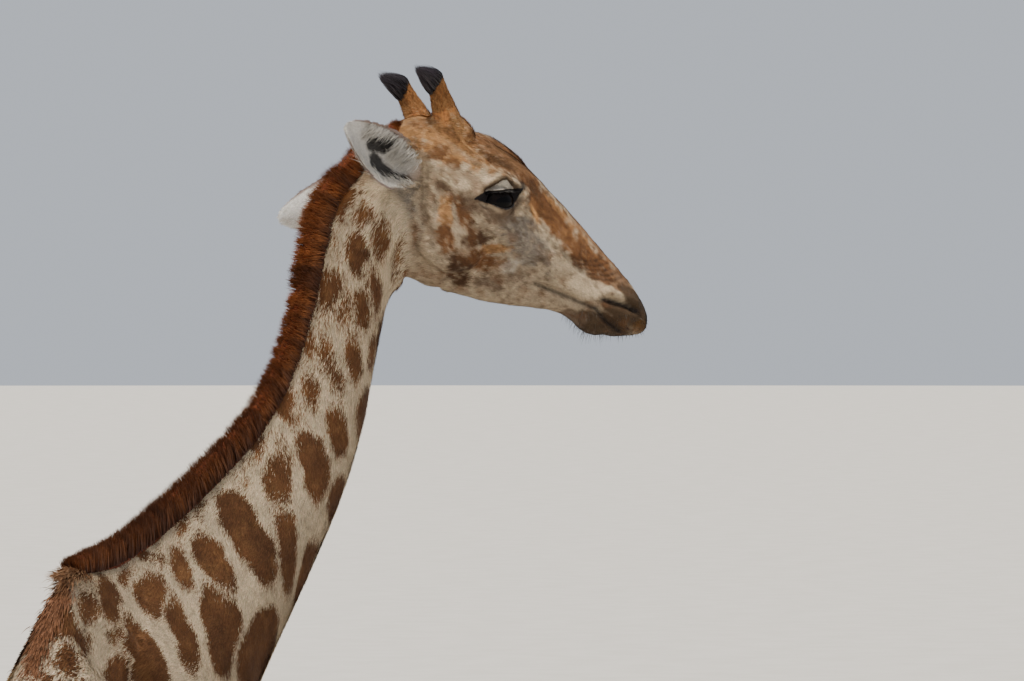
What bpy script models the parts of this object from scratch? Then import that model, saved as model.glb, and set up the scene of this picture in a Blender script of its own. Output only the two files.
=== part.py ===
"""A life-size standing giraffe cow, her head turned to the right.

Metres, +X forward along the trunk, +Y to the animal's left, +Z up, floor at z = 0. It is
built about a line through the withers, then moved so that the origin is at the middle of
the bottom of its box.
The flesh is one soft form: lofted tubes and ellipsoids that a voxel remesh joins and a
smooth pass blends. Thin cuts then part it into head, neck, trunk and legs.
"""

import math

import bmesh
import bpy
import numpy as np
from mathutils import Matrix, Vector

# ---------------------------------------------------------------- driving sizes
WITHERS = Vector((0.0, 0.0, 2.40))
GAP = 0.0003
HEAD_REACH = 0.36
SIDES = {"left": 1.0, "right": -1.0}

# The neck hangs below the nape line, which runs from the withers to the poll. Stations:
# distance along the nape, rise and turn of the nape, lean of the section, in degrees,
# depth, half width, and the share of it kept at the crest and at the throat.
NAPE = [
    (0.000, -8, -4, 30, 0.550, 0.150, 0.32, 0.75),
    (0.140, 5, -10, 31, 0.480, 0.146, 0.36, 0.72),
    (0.300, 17, -12, 33, 0.400, 0.130, 0.38, 0.70),
    (0.480, 25, -15, 37, 0.325, 0.109, 0.42, 0.66),
    (0.680, 34, -17, 45, 0.262, 0.089, 0.45, 0.64),
    (0.870, 55, -19, 55, 0.218, 0.074, 0.48, 0.62),
    (1.030, 66, -20, 62, 0.190, 0.064, 0.50, 0.60),
    (1.170, 62, -26, 66, 0.190, 0.060, 0.52, 0.60),
    (1.295, 43, -32, 64, 0.236, 0.060, 0.54, 0.58),
    (1.395, 22, -40, 60, 0.270, 0.062, 0.56, 0.56),
]

# The head's own frame: x to the nose, y to the left, z to the brow, centred between the eyes.
HEAD_TURN = (-35.0, -51.0, -5.0)
POLL_IN_HEAD = Vector((-0.195, 0.0, 0.030))
# Stations: x, top, level of the widest point, bottom, half width, and the share of it kept
# near the top and near the bottom.
HEAD = [
    (-0.207, 0.035, 0.000, -0.030, 0.030, 0.60, 0.60),
    (-0.185, 0.060, -0.005, -0.105, 0.060, 0.62, 0.60),
    (-0.145, 0.078, -0.010, -0.165, 0.075, 0.64, 0.50),
    (-0.100, 0.090, -0.015, -0.190, 0.083, 0.68, 0.46),
    (-0.050, 0.099, -0.015, -0.194, 0.087, 0.72, 0.44),
    (0.000, 0.104, -0.010, -0.180, 0.087, 0.72, 0.42),
    (0.045, 0.103, -0.010, -0.164, 0.081, 0.70, 0.42),
    (0.095, 0.097, -0.010, -0.145, 0.069, 0.66, 0.42),
    (0.145, 0.091, -0.005, -0.121, 0.057, 0.64, 0.44),
    (0.195, 0.082, 0.000, -0.093, 0.048, 0.62, 0.50),
    (0.245, 0.071, 0.000, -0.071, 0.045, 0.62, 0.58),
    (0.295, 0.060, 0.000, -0.068, 0.049, 0.62, 0.60),
    (0.347, 0.045, -0.002, -0.048, 0.048, 0.62, 0.62),
    (0.383, 0.024, -0.004, -0.026, 0.037, 0.60, 0.60),
    (0.404, 0.006, -0.004, -0.012, 0.016, 0.60, 0.60),
]

# Stations of the trunk: x, top, level of the widest point, bottom, half width, and the
# share of it kept near the top and near the bottom.
TRUNK = [
    (0.36, 2.00, 1.95, 1.86, 0.080, 0.60, 0.60),
    (0.31, 2.15, 1.95, 1.74, 0.132, 0.56, 0.62),
    (0.20, 2.29, 1.93, 1.63, 0.172, 0.44, 0.62),
    (0.08, 2.365, 1.90, 1.56, 0.196, 0.34, 0.62),
    (-0.03, 2.380, 1.87, 1.52, 0.214, 0.31, 0.62),
    (-0.13, 2.335, 1.85, 1.49, 0.232, 0.30, 0.64),
    (-0.25, 2.232, 1.82, 1.465, 0.256, 0.35, 0.66),
    (-0.39, 2.150, 1.80, 1.450, 0.282, 0.50, 0.66),
    (-0.55, 2.095, 1.79, 1.450, 0.292, 0.56, 0.66),
    (-0.72, 2.060, 1.79, 1.485, 0.282, 0.60, 0.66),
    (-0.88, 2.025, 1.80, 1.545, 0.256, 0.60, 0.66),
    (-1.02, 1.965, 1.80, 1.610, 0.216, 0.58, 0.66),
    (-1.13, 1.885, 1.79, 1.670, 0.158, 0.58, 0.66),
    (-1.19, 1.815, 1.77, 1.715, 0.080, 0.60, 0.60),
]

# Stations of a leg: height, x, distance from the middle, half length, half width.
FORELEG = [
    (2.18, -0.05, 0.090, 0.085, 0.045),
    (2.03, -0.01, 0.128, 0.125, 0.070),
    (1.86, 0.05, 0.155, 0.150, 0.082),
    (1.72, 0.065, 0.168, 0.148, 0.084),
    (1.58, 0.030, 0.170, 0.126, 0.078),
    (1.45, 0.006, 0.168, 0.102, 0.068),
    (1.30, 0.006, 0.165, 0.080, 0.058),
    (1.14, 0.012, 0.161, 0.061, 0.049),
    (1.00, 0.017, 0.158, 0.050, 0.043),
    (0.90, 0.021, 0.156, 0.050, 0.046),
    (0.825, 0.025, 0.155, 0.057, 0.053),
    (0.755, 0.022, 0.154, 0.050, 0.047),
    (0.68, 0.014, 0.153, 0.038, 0.037),
    (0.52, 0.012, 0.151, 0.033, 0.031),
    (0.34, 0.010, 0.150, 0.034, 0.032),
    (0.235, 0.005, 0.149, 0.046, 0.043),
    (0.165, 0.022, 0.149, 0.039, 0.041),
    (0.112, 0.038, 0.149, 0.051, 0.052),
    (0.070, 0.044, 0.149, 0.056, 0.056),
]
HINDLEG = [
    (1.94, -0.915, 0.085, 0.140, 0.070),
    (1.82, -0.945, 0.120, 0.185, 0.090),
    (1.68, -0.945, 0.142, 0.205, 0.098),
    (1.54, -0.905, 0.154, 0.180, 0.094),
    (1.41, -0.880, 0.160, 0.146, 0.082),
    (1.28, -0.890, 0.162, 0.110, 0.068),
    (1.14, -0.945, 0.160, 0.078, 0.053),
    (1.01, -1.010, 0.157, 0.060, 0.042),
    (0.91, -1.045, 0.155, 0.064, 0.045),
    (0.82, -1.047, 0.153, 0.060, 0.047),
    (0.73, -1.035, 0.152, 0.044, 0.039),
    (0.54, -1.023, 0.150, 0.035, 0.032),
    (0.34, -1.013, 0.149, 0.035, 0.033),
    (0.235, -1.017, 0.148, 0.045, 0.042),
    (0.165, -1.000, 0.148, 0.038, 0.040),
    (0.112, -0.984, 0.148, 0.049, 0.050),
    (0.070, -0.978, 0.148, 0.054, 0.054),
]
# How far forward each foot stands of the stations above, for an easy stance.
STRIDE = {
    ("fore", "left"): 0.07,
    ("fore", "right"): -0.05,
    ("hind", "left"): -0.05,
    ("hind", "right"): 0.08,
}
HIP = {"fore": 1.70, "hind": 1.60}


# ---------------------------------------------------------------- shape helpers
def spline(stations, count):
    """Rows of numbers spaced along a Catmull-Rom curve through the stations."""
    rows = np.array(stations, float)
    place = np.linspace(0, len(rows) - 1, count)
    first = np.clip(place.astype(int), 0, len(rows) - 2)
    f = (place - first)[:, None]
    ends = np.vstack([2 * rows[0] - rows[1], rows, 2 * rows[-1] - rows[-2]])
    a, b, c, d = (ends[first + i] for i in range(4))
    cubic = 3 * b - a - 3 * c + d
    return 0.5 * (2 * b + (c - a) * f + (2 * a - 5 * b + 4 * c - d) * f**2 + cubic * f**3)


def section(top, bottom, wide, crown=0.63, keel=0.63, count=32):
    """A round loop in (across, up): its widest at height 0, crown and keel say how full it stays."""
    half = [
        (0.0, top),
        (crown * wide, 0.78 * top),
        (wide, 0.0),
        (keel * wide, 0.78 * bottom),
        (0.0, bottom),
    ]
    loop = half + [(-x, z) for x, z in half[-2:0:-1]]
    wrapped = np.array(loop[-1:] + loop + loop[:2])
    place = np.linspace(0, len(loop), count, endpoint=False)
    first = place.astype(int)
    f = (place - first)[:, None]
    a, b, c, d = (wrapped[first + i] for i in range(4))
    cubic = 3 * b - a - 3 * c + d
    return 0.5 * (2 * b + (c - a) * f + (2 * a - 5 * b + 4 * c - d) * f**2 + cubic * f**3)


def placed(loop, center, across, up):
    """The loop's points in space."""
    return np.array(center) + np.outer(loop[:, 0], across) + np.outer(loop[:, 1], up)


def add_tube(bm, rings):
    """Joins closed loops into a capped tube."""
    loops = [[bm.verts.new(point) for point in ring] for ring in rings]
    for low, high in zip(loops, loops[1:]):
        for i in range(len(low)):
            j = (i + 1) % len(low)
            bm.faces.new((low[i], low[j], high[j]))
            bm.faces.new((low[i], high[j], high[i]))
    bm.faces.new(reversed(loops[0]))
    bm.faces.new(loops[-1])


def add_ellipsoid(bm, center, radii, axes=None):
    """An ellipsoid whose axes are the columns of the 3 x 3 matrix."""
    axes = axes if axes is not None else Matrix.Identity(3)
    place = Matrix.Translation(center) @ axes.to_4x4() @ Matrix.Diagonal((*radii, 1.0))
    bmesh.ops.create_uvsphere(bm, u_segments=16, v_segments=10, radius=1.0, matrix=place)


def turned(rise, turn, roll=0.0):
    """Axes that point forward, left and up, after a turn, a rise and a roll in degrees."""
    axes = Matrix.Rotation(math.radians(turn), 3, "Z") @ Matrix.Rotation(-math.radians(rise), 3, "Y")
    return axes @ Matrix.Rotation(math.radians(roll), 3, "X")


# ---------------------------------------------------------------- the flesh
def nape_path(count=70):
    """Points of the nape, each with the axes of its section and the section's sizes."""
    rows = spline(NAPE, count)
    point = WITHERS.copy()
    path = []
    for i, row in enumerate(rows):
        if i:
            point = point + turned(row[1], row[2]).col[0] * (row[0] - rows[i - 1][0])
        path.append((point.copy(), turned(row[3], row[2]), row[4:]))
    return path


def head_place():
    """The matrix of the head's frame, with the poll on the end of the nape."""
    poll = nape_path()[-1][0]
    rise, turn, roll = HEAD_TURN
    return Matrix.Translation(poll) @ turned(rise, turn, roll).to_4x4() @ Matrix.Translation(-POLL_IN_HEAD)


def add_neck(bm):
    rings = []
    for point, axes, (depth, wide, crest, throat) in nape_path():
        loop = section(0.5 * depth, -0.5 * depth, wide, crest, throat)
        rings.append(placed(loop, point - axes.col[2] * 0.5 * depth, axes.col[1], axes.col[2]))
    add_tube(bm, rings)


def add_trunk(bm):
    rings = []
    for x, top, level, bottom, wide, crest, keel in spline(TRUNK, 60):
        loop = section(top - level, bottom - level, wide, crest, keel)
        rings.append(placed(loop, (x, 0, level), (0, 1, 0), (0, 0, 1)))
    add_tube(bm, rings)


def leg_rows(kind, side, count=70):
    """Rows of height, x, y, half length and half width of one leg, feet in stance."""
    rows = []
    for z, x, y, long, wide in spline(FORELEG if kind == "fore" else HINDLEG, count):
        reach = max(0.0, 1 - z / HIP[kind])
        rows.append((z, x + STRIDE[kind, side] * reach, y * SIDES[side], long, wide))
    return rows


def add_leg(bm, kind, side):
    rings = []
    for z, x, y, long, wide in leg_rows(kind, side):
        rings.append(placed(section(long, -long, wide), (x, y, z), (0, 1, 0), (1, 0, 0))[::-1])
    add_tube(bm, rings)


def add_head(bm):
    place = head_place()
    axes = place.to_3x3()
    rings = []
    for x, top, level, bottom, wide, crown, jaw in spline(HEAD, 70):
        loop = section(top - level, bottom - level, wide, crown, jaw)
        rings.append(placed(loop, place @ Vector((x, 0, level)), axes.col[1], axes.col[2]))
    add_tube(bm, rings)


def add_skull_lumps(bm):
    """Brow, cheek, bridge, nostril and chin, each with its own radii and pitch."""
    place = head_place()
    axes = place.to_3x3()
    lumps = [
        (0.010, 0.062, 0.030, 0.060, 0.030, 0.030, -8),
        (-0.035, 0.050, -0.095, 0.075, 0.026, 0.070, 0),
        (0.020, 0.000, 0.078, 0.075, 0.036, 0.026, -4),
        (-0.130, 0.040, 0.062, 0.050, 0.030, 0.030, 10),
        (0.330, 0.024, 0.012, 0.042, 0.026, 0.026, -25),
        (0.300, 0.000, -0.052, 0.036, 0.032, 0.018, 12),
    ]
    for x, y, z, long, wide, high, pitch in lumps:
        for side in SIDES.values() if y else (1.0,):
            add_ellipsoid(bm, place @ Vector((x, side * y, z)), (long, wide, high), axes @ turned(pitch, 0))


def add_muscles(bm):
    """Shoulder blades, upper arms, haunches and the seat of the tail."""
    for side in SIDES.values():
        add_ellipsoid(bm, (0.03, side * 0.108, 1.95), (0.12, 0.075, 0.23), turned(12, 0, side * 10))
        add_ellipsoid(bm, (0.13, side * 0.125, 1.80), (0.13, 0.080, 0.14), turned(-20, 0))
        add_ellipsoid(bm, (-0.92, side * 0.110, 1.83), (0.20, 0.105, 0.15), turned(18, 0))
        add_ellipsoid(bm, (-1.05, side * 0.085, 1.73), (0.10, 0.075, 0.16))


def flesh_mesh():
    bm = bmesh.new()
    add_trunk(bm)
    add_neck(bm)
    add_head(bm)
    add_skull_lumps(bm)
    add_muscles(bm)
    for kind in ("fore", "hind"):
        for side in SIDES:
            add_leg(bm, kind, side)
    bmesh.ops.recalc_face_normals(bm, faces=bm.faces)
    mesh = bpy.data.meshes.new("flesh")
    bm.to_mesh(mesh)
    bm.free()
    return mesh


# ---------------------------------------------------------------- pieces set into the flesh
# In the head's frame: root and direction of each ear, and the way its hollow faces.
EARS = {
    "left": (
        Vector((-0.140, 0.066, -0.042)),
        Vector((-0.120, 0.078, -0.165)),
        Vector((0.25, 0.90, 0.35)),
    ),
    "right": (
        Vector((-0.140, -0.066, -0.042)),
        Vector((-0.186, -0.063, -0.042)),
        Vector((-0.30, -0.90, 0.10)),
    ),
}
EAR_LENGTH = 0.215
# The gap left round the root of an ear, wide enough for the bowed root to clear its seat.
EAR_SEAT = 0.0006
# Stations of an ear: share of its length, half width, depth of the cup, thickness.
EAR = [
    (-0.12, 0.016, 0.018, 0.016),
    (0.00, 0.021, 0.026, 0.020),
    (0.12, 0.032, 0.034, 0.014),
    (0.28, 0.045, 0.038, 0.009),
    (0.46, 0.050, 0.033, 0.007),
    (0.66, 0.045, 0.024, 0.007),
    (0.84, 0.030, 0.014, 0.006),
    (0.96, 0.013, 0.008, 0.005),
    (1.00, 0.005, 0.005, 0.003),
]
# Stations of a horn in the head's frame: x, distance from the middle, z, radius.
HORN = [
    (-0.140, 0.046, 0.055, 0.026),
    (-0.163, 0.052, 0.076, 0.022),
    (-0.186, 0.058, 0.091, 0.017),
    (-0.208, 0.063, 0.103, 0.016),
    (-0.218, 0.065, 0.108, 0.017),
]
HORN_TUFT = [
    (-0.2185, 0.0651, 0.1083, 0.0180),
    (-0.228, 0.067, 0.111, 0.0200),
    (-0.241, 0.069, 0.111, 0.0180),
    (-0.254, 0.071, 0.106, 0.0110),
    (-0.264, 0.072, 0.099, 0.0035),
]
EYE = Vector((0.002, 0.064, -0.003))
EYE_RADIUS = 0.031
# Stations of the mane: distance from the withers, height of the hair above the nape.
MANE = [
    (0.02, 0.030),
    (0.12, 0.052),
    (0.50, 0.060),
    (0.85, 0.062),
    (1.00, 0.084),
    (1.09, 0.088),
    (1.20, 0.056),
    (1.36, 0.026),
]
MANE_HALF_WIDTH = 0.018
MANE_ROOT = 0.014
MANE_START, MANE_STEP = 0.02, 0.0335
MANE_BREAKS = [0, 14, 27, 40]
NECK_CUTS = {"neck_lower": 0.16, "neck_middle": 0.50, "neck_upper": 0.95}
# Stations of the tail and of its tassel: x, z, radius.
TAIL = [
    (-1.090, 1.785, 0.036),
    (-1.150, 1.795, 0.038),
    (-1.197, 1.750, 0.034),
    (-1.208, 1.670, 0.027),
    (-1.212, 1.550, 0.020),
    (-1.215, 1.360, 0.014),
]
TASSEL = [
    (-1.215, 1.3597, 0.0145),
    (-1.216, 1.300, 0.026),
    (-1.219, 1.180, 0.040),
    (-1.222, 1.040, 0.044),
    (-1.222, 0.900, 0.034),
    (-1.220, 0.820, 0.014),
    (-1.219, 0.800, 0.004),
]
# Stations of one hoof: height, forward of the coronet, half length, half width.
HOOF = [
    (0.0697, 0.000, 0.050, 0.0262),
    (0.055, 0.004, 0.055, 0.0272),
    (0.025, 0.012, 0.062, 0.0285),
    (0.004, 0.018, 0.066, 0.0290),
    (0.000, 0.018, 0.064, 0.0280),
]
CLEFT = 0.0030


def nape_at(distance):
    """The point of the nape at a distance from the withers, and the axes of the mane there."""
    path = nape_path(281)
    far = np.linspace(0, NAPE[-1][0], len(path))
    points = np.array([p for p, _, _ in path])
    step = 0.005
    ends = [Vector([np.interp(distance + d, far, points[:, i]) for i in range(3)]) for d in (-step, 0, step)]
    along = (ends[2] - ends[0]).normalized()
    left = path[int(np.interp(distance, far, range(len(path))))][1].col[1]
    up = along.cross(left).normalized()
    return ends[1], along, up.cross(along), up


def mane_rings(first, last, grow=0.0):
    """Upright loops on the nape, numbered in steps from the withers."""
    rings = []
    for step in [*range(first, last), last - (0 if grow else GAP / MANE_STEP)]:
        distance = MANE_START + step * MANE_STEP
        point, _, across, up = nape_at(distance)
        high = np.interp(distance, *np.array(MANE).T)
        loop = section(high + grow, -MANE_ROOT - grow, MANE_HALF_WIDTH + grow, 0.90, 1.0, 10)
        rings.append(placed(loop, point, across, up))
    return rings


def ear_rings(side, grow=0.0):
    """Crescent loops from the root of an ear to its tip, grown all round for a cutter."""
    place = head_place()
    root = place @ EARS[side][0]
    along = (place.to_3x3() @ EARS[side][1]).normalized()
    hollow = place.to_3x3() @ EARS[side][2]
    out = (hollow - hollow.dot(along) * along).normalized()
    across = along.cross(out)
    turn = np.linspace(-1, 1, 7)
    bow = 1 - turn**2
    rings = []
    for share, wide, deep, thick in spline(EAR, 12):
        reach = turn * (wide + grow)
        back = np.stack([reach, -deep * bow - 3 * grow], 1)
        front = np.stack([reach, -deep * bow + thick * (0.3 + 0.7 * bow) + 3 * grow], 1)
        loop = np.vstack([back, front[::-1]])
        rings.append(placed(loop, root + along * share * EAR_LENGTH, across, out))
    rings[0] -= np.array(along) * grow
    return rings


def horn_rings(stations, side, grow=0.0):
    place = head_place()
    flip = Vector((1.0, SIDES[side], 1.0))
    ends = [place @ (Vector(HORN[i][:3]) * flip) for i in (0, -1)]
    along = (ends[1] - ends[0]).normalized()
    across = along.cross(place.to_3x3().col[0]).normalized()
    up = across.cross(along)
    rings = []
    for x, y, z, radius in spline(stations, 7):
        loop = section(radius + grow, -radius - grow, radius + grow, count=10)
        rings.append(placed(loop, place @ (Vector((x, y, z)) * flip), across, up))
    rings[0] -= np.array(along) * grow
    return rings


def tail_rings(stations, grow=0.0):
    rows = spline(stations, 11)
    slopes = np.gradient(rows[:, :2], axis=0)
    slopes[0 if stations is TASSEL else -1] = (0.0, -1.0)
    rings = []
    for (x, z, radius), (run, rise) in zip(rows, slopes):
        along = Vector((run, 0, rise)).normalized()
        loop = section(radius + grow, -radius - grow, radius + grow, count=12)
        rings.append(placed(loop, (x, 0, z), (0, 1, 0), along.cross(Vector((0, 1, 0)))))
    rings[0] += np.array((grow, 0, 0))
    return rings


def hoof_rings(kind, side, claw):
    """One claw of a foot, its sole flat on the floor."""
    z, x, y, long, wide = leg_rows(kind, side)[-1]
    rings = []
    for height, ahead, half_long, half_wide in HOOF:
        middle = (x + ahead, y + claw * (half_wide + CLEFT), height)
        loop = section(half_long, -half_long, half_wide, 0.66, 0.76, 12)
        rings.append(placed(loop, middle, (0, 1, 0), (1, 0, 0)))
    return rings


# ---------------------------------------------------------------- cuts and nodes
def box(bm, middle, axes, halves):
    """A box whose half sizes run along the columns of the 3 x 3 axes."""
    place = Matrix.Translation(middle) @ axes.to_4x4() @ Matrix.Diagonal((*halves, 1.0))
    bmesh.ops.create_cube(bm, size=2.0, matrix=place)


def add_neck_slabs(bm):
    """The thin cuts across the neck."""
    for distance in NECK_CUTS.values():
        point = nape_at(distance)[0]
        row = min(nape_path(), key=lambda r: (r[0] - point).length)
        depth, wide = row[2][:2]
        box(bm, point - row[1].col[2] * 0.47 * depth, row[1], (GAP / 2, 2.0 * wide, 0.60 * depth))


def add_head_slab(bm):
    """The cut behind the skull, from the poll to the throat."""
    place = head_place()
    tilt = place.to_3x3() @ turned(34.9, 0)
    box(bm, place @ Vector((-0.135, 0, -0.108)), tilt, (GAP / 2, 0.12, 0.19))


def add_leg_slabs(bm):
    """The cuts at the top and in the middle of each leg."""
    flat = turned(90, 0)
    for side in SIDES.values():
        box(bm, (0.01, side * 0.170, 1.455), flat, (GAP / 2, 0.125, 0.15))
        box(bm, (-0.90, side * 0.160, 1.420), flat, (GAP / 2, 0.130, 0.21))
    for name in SIDES:
        for kind, height in (("fore", 0.730), ("hind", 0.790)):
            row = min(leg_rows(kind, name), key=lambda r: abs(r[0] - height))
            box(bm, (row[1], row[2], height), flat, (GAP / 2, 0.09, 0.12))


def add_small_sockets(bm):
    """Seats for the eyes, horns and tail."""
    place = head_place()
    for side, sign in SIDES.items():
        centre = place @ (EYE * Vector((1, sign, 1)))
        add_ellipsoid(bm, centre, [EYE_RADIUS + GAP] * 3)
        add_tube(bm, horn_rings(HORN, side, GAP))
    add_tube(bm, tail_rings(TAIL, GAP))


def add_ear_sockets(bm):
    for side in SIDES:
        add_tube(bm, ear_rings(side, EAR_SEAT))


def add_mane_socket(bm):
    add_tube(bm, mane_rings(MANE_BREAKS[0], MANE_BREAKS[-1], GAP))


CUTTERS = [
    add_neck_slabs,
    add_head_slab,
    add_leg_slabs,
    add_small_sockets,
    add_ear_sockets,
    add_mane_socket,
]


def mesh_of(name, *builders):
    """A new mesh from functions that each add to one bmesh, facing outwards."""
    bm = bmesh.new()
    for build in builders:
        build(bm)
    bmesh.ops.recalc_face_normals(bm, faces=bm.faces)
    mesh = bpy.data.meshes.new(name)
    bm.to_mesh(mesh)
    bm.free()
    return mesh


def link(name, mesh):
    obj = bpy.data.objects.new(name, mesh)
    bpy.context.scene.collection.objects.link(obj)
    return obj


def applied(obj):
    """The object's mesh with its modifiers applied, and the object gone."""
    graph = bpy.context.evaluated_depsgraph_get()
    mesh = bpy.data.meshes.new_from_object(obj.evaluated_get(graph))
    bpy.data.objects.remove(obj)
    return mesh


def joined_flesh():
    obj = link("flesh", flesh_mesh())
    remesh = obj.modifiers.new("join", "REMESH")
    remesh.mode = "VOXEL"
    remesh.voxel_size = 0.011
    obj = link("flesh", applied(obj))
    coarse = obj.vertex_groups.new(name="coarse")
    bulk = obj.vertex_groups.new(name="bulk")
    middle = head_place() @ Vector((0.08, 0, -0.05))
    for vert in obj.data.vertices:
        near = (vert.co - middle).length < HEAD_REACH
        coarse.add([vert.index], 0.6 if near else 1.0, "REPLACE")
        bulk.add([vert.index], 0.0 if near else min(1.0, max(0.0, 4.0 * (vert.co.z - 1.25))), "REPLACE")
    for name, iterations in (("", 6), ("bulk", 40)):
        blend = obj.modifiers.new("blend", "SMOOTH")
        blend.factor = 0.5
        blend.iterations = iterations
        blend.vertex_group = name
    fewer = obj.modifiers.new("fewer", "DECIMATE")
    fewer.vertex_group = "coarse"
    fewer.ratio = 0.0165
    return applied(obj)


def parted_flesh():
    """The flesh after its sockets and cuts, as one mesh of many closed parts."""
    obj = link("flesh", joined_flesh())
    cutters = [link(build.__name__, mesh_of(build.__name__, build)) for build in CUTTERS]
    for cutter in cutters:
        cut = obj.modifiers.new(cutter.name, "BOOLEAN")
        cut.operation = "DIFFERENCE"
        cut.object = cutter
    mesh = applied(obj)
    for cutter in cutters:
        bpy.data.objects.remove(cutter)
    return mesh


def islands(bm):
    """Groups of faces that share vertices."""
    left, groups = set(bm.faces), []
    while left:
        group = front = {left.pop()}
        while front:
            front = {f for face in front for v in face.verts for f in v.link_faces} & left
            left -= front
            group = group | front
        groups.append(group)
    return groups


def flesh_seeds():
    """A point near the middle of each node of flesh."""
    seeds = {"head": head_place() @ Vector((0.08, 0, -0.04)), "trunk": Vector((-0.42, 0, 1.88))}
    for name, distance, deep in (("lower", 0.33, 0.17), ("middle", 0.72, 0.12), ("upper", 1.16, 0.09)):
        point, along, _, up = nape_at(distance)
        seeds["neck_" + name] = point - up * deep
    for kind in ("fore", "hind"):
        for side in SIDES:
            for part, height in (("upper", 1.10), ("lower", 0.42)):
                z, x, y, _, _ = min(leg_rows(kind, side), key=lambda r: abs(r[0] - height))
                seeds[f"{kind}leg_{side}_{part}"] = Vector((x, y, z))
    return seeds


def flesh_nodes():
    """One object for each piece of flesh, named after the seed nearest its middle."""
    bm = bmesh.new()
    bm.from_mesh(parted_flesh())
    groups = islands(bm)
    names = {}
    for i, group in enumerate(groups):
        points = np.array([v.co for face in group for v in face.verts])
        names[i] = (Vector((points.min(0) + points.max(0)) / 2), len(group))
    for name, seed in flesh_seeds().items():
        best = min(names, key=lambda i: (names[i][0] - seed).length)
        piece = bm.copy()
        piece.faces.ensure_lookup_table()
        keep = {face.index for face in groups[best]}
        bmesh.ops.delete(piece, geom=[f for f in piece.faces if f.index not in keep], context="FACES")
        mesh = bpy.data.meshes.new(name)
        piece.to_mesh(mesh)
        piece.free()
        link(name, mesh)
    bm.free()


def tube_node(name, rings):
    link(name, mesh_of(name, lambda bm: add_tube(bm, rings)))


def inset_nodes():
    place = head_place()
    for side, sign in SIDES.items():
        middle = place @ (EYE * Vector((1, sign, 1)))
        link(f"eye_{side}", mesh_of("eye", lambda bm: add_ellipsoid(bm, middle, [EYE_RADIUS] * 3)))
        tube_node(f"ear_{side}", ear_rings(side))
        tube_node(f"horn_{side}", horn_rings(HORN, side))
        tube_node(f"horn_tuft_{side}", horn_rings(HORN_TUFT, side))
        for kind in ("fore", "hind"):
            for claw, inner in ((-1, "right"), (1, "left")):
                tube_node(f"hoof_{kind}_{side}_{inner}_claw", hoof_rings(kind, side, claw))
    for name, first, last in zip(("lower", "middle", "upper"), MANE_BREAKS, MANE_BREAKS[1:]):
        tube_node(f"mane_{name}", mane_rings(first, last))
    tube_node("tail", tail_rings(TAIL))
    tube_node("tail_tassel", tail_rings(TASSEL))


# ---------------------------------------------------------------- finish
COAT = ((0.47, 0.27, 0.14), 0.75)
MATERIALS = {
    "head": ((0.50, 0.33, 0.20), 0.70),
    "ear": ((0.60, 0.54, 0.48), 0.70),
    "eye": ((0.012, 0.009, 0.008), 0.08),
    "horn": ((0.50, 0.25, 0.11), 0.75),
    "horn_tuft": ((0.012, 0.010, 0.012), 0.80),
    "hoof": ((0.060, 0.048, 0.040), 0.45),
    "mane": ((0.27, 0.075, 0.022), 0.80),
    "tail_tassel": ((0.014, 0.011, 0.010), 0.80),
}


def finish_of(name):
    """The colour and roughness of the longest material name that the node's name starts with."""
    fits = [key for key in MATERIALS if name.startswith(key)]
    return MATERIALS[max(fits, key=len)] if fits else COAT


def paint(obj):
    material = bpy.data.materials.new(obj.name)
    material.use_nodes = True
    shader = material.node_tree.nodes["Principled BSDF"]
    colour, rough = finish_of(obj.name)
    shader.inputs["Base Color"].default_value = (*colour, 1)
    shader.inputs["Roughness"].default_value = rough
    shader.inputs["Metallic"].default_value = 0.0
    obj.data.materials.clear()
    obj.data.materials.append(material)
    obj.data.shade_smooth()


def move_to_origin():
    """Puts the origin at the middle of the bottom of the giraffe's box."""
    points = np.array([v.co for obj in bpy.data.objects for v in obj.data.vertices])
    low, high = points.min(0), points.max(0)
    shift = Vector((-(low[0] + high[0]) / 2, -(low[1] + high[1]) / 2, -low[2]))
    for obj in bpy.data.objects:
        obj.data.transform(Matrix.Translation(shift))


def clear():
    for obj in list(bpy.data.objects):
        bpy.data.objects.remove(obj)


def main():
    clear()
    flesh_nodes()
    inset_nodes()
    for obj in bpy.data.objects:
        paint(obj)
    move_to_origin()


if __name__ == "__main__":
    main()
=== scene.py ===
"""The looks of a life-size giraffe cow: skin, coat, mane, hair, eyes and hooves.

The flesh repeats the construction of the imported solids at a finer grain. It is built about
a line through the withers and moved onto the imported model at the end.
"""

import math

import bmesh
import bpy
import numpy as np
from mathutils import Matrix, Vector


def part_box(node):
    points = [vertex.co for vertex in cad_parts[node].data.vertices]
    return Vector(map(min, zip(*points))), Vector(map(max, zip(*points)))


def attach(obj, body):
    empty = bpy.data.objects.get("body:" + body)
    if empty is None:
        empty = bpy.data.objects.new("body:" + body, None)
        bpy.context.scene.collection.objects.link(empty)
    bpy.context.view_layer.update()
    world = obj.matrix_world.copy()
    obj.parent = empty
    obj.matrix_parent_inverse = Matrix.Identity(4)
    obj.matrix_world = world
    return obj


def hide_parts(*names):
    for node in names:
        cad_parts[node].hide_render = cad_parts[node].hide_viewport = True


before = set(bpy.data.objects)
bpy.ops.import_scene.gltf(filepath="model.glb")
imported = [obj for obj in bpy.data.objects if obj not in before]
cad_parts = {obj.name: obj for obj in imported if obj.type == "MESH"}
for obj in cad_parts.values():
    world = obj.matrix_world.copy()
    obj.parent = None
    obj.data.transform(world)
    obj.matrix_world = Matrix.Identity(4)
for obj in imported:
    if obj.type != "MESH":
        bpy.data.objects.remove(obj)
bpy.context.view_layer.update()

# -------- the giraffe's sizes
WITHERS = Vector((0.0, 0.0, 2.40))
SIDES = {"left": 1.0, "right": -1.0}

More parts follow.
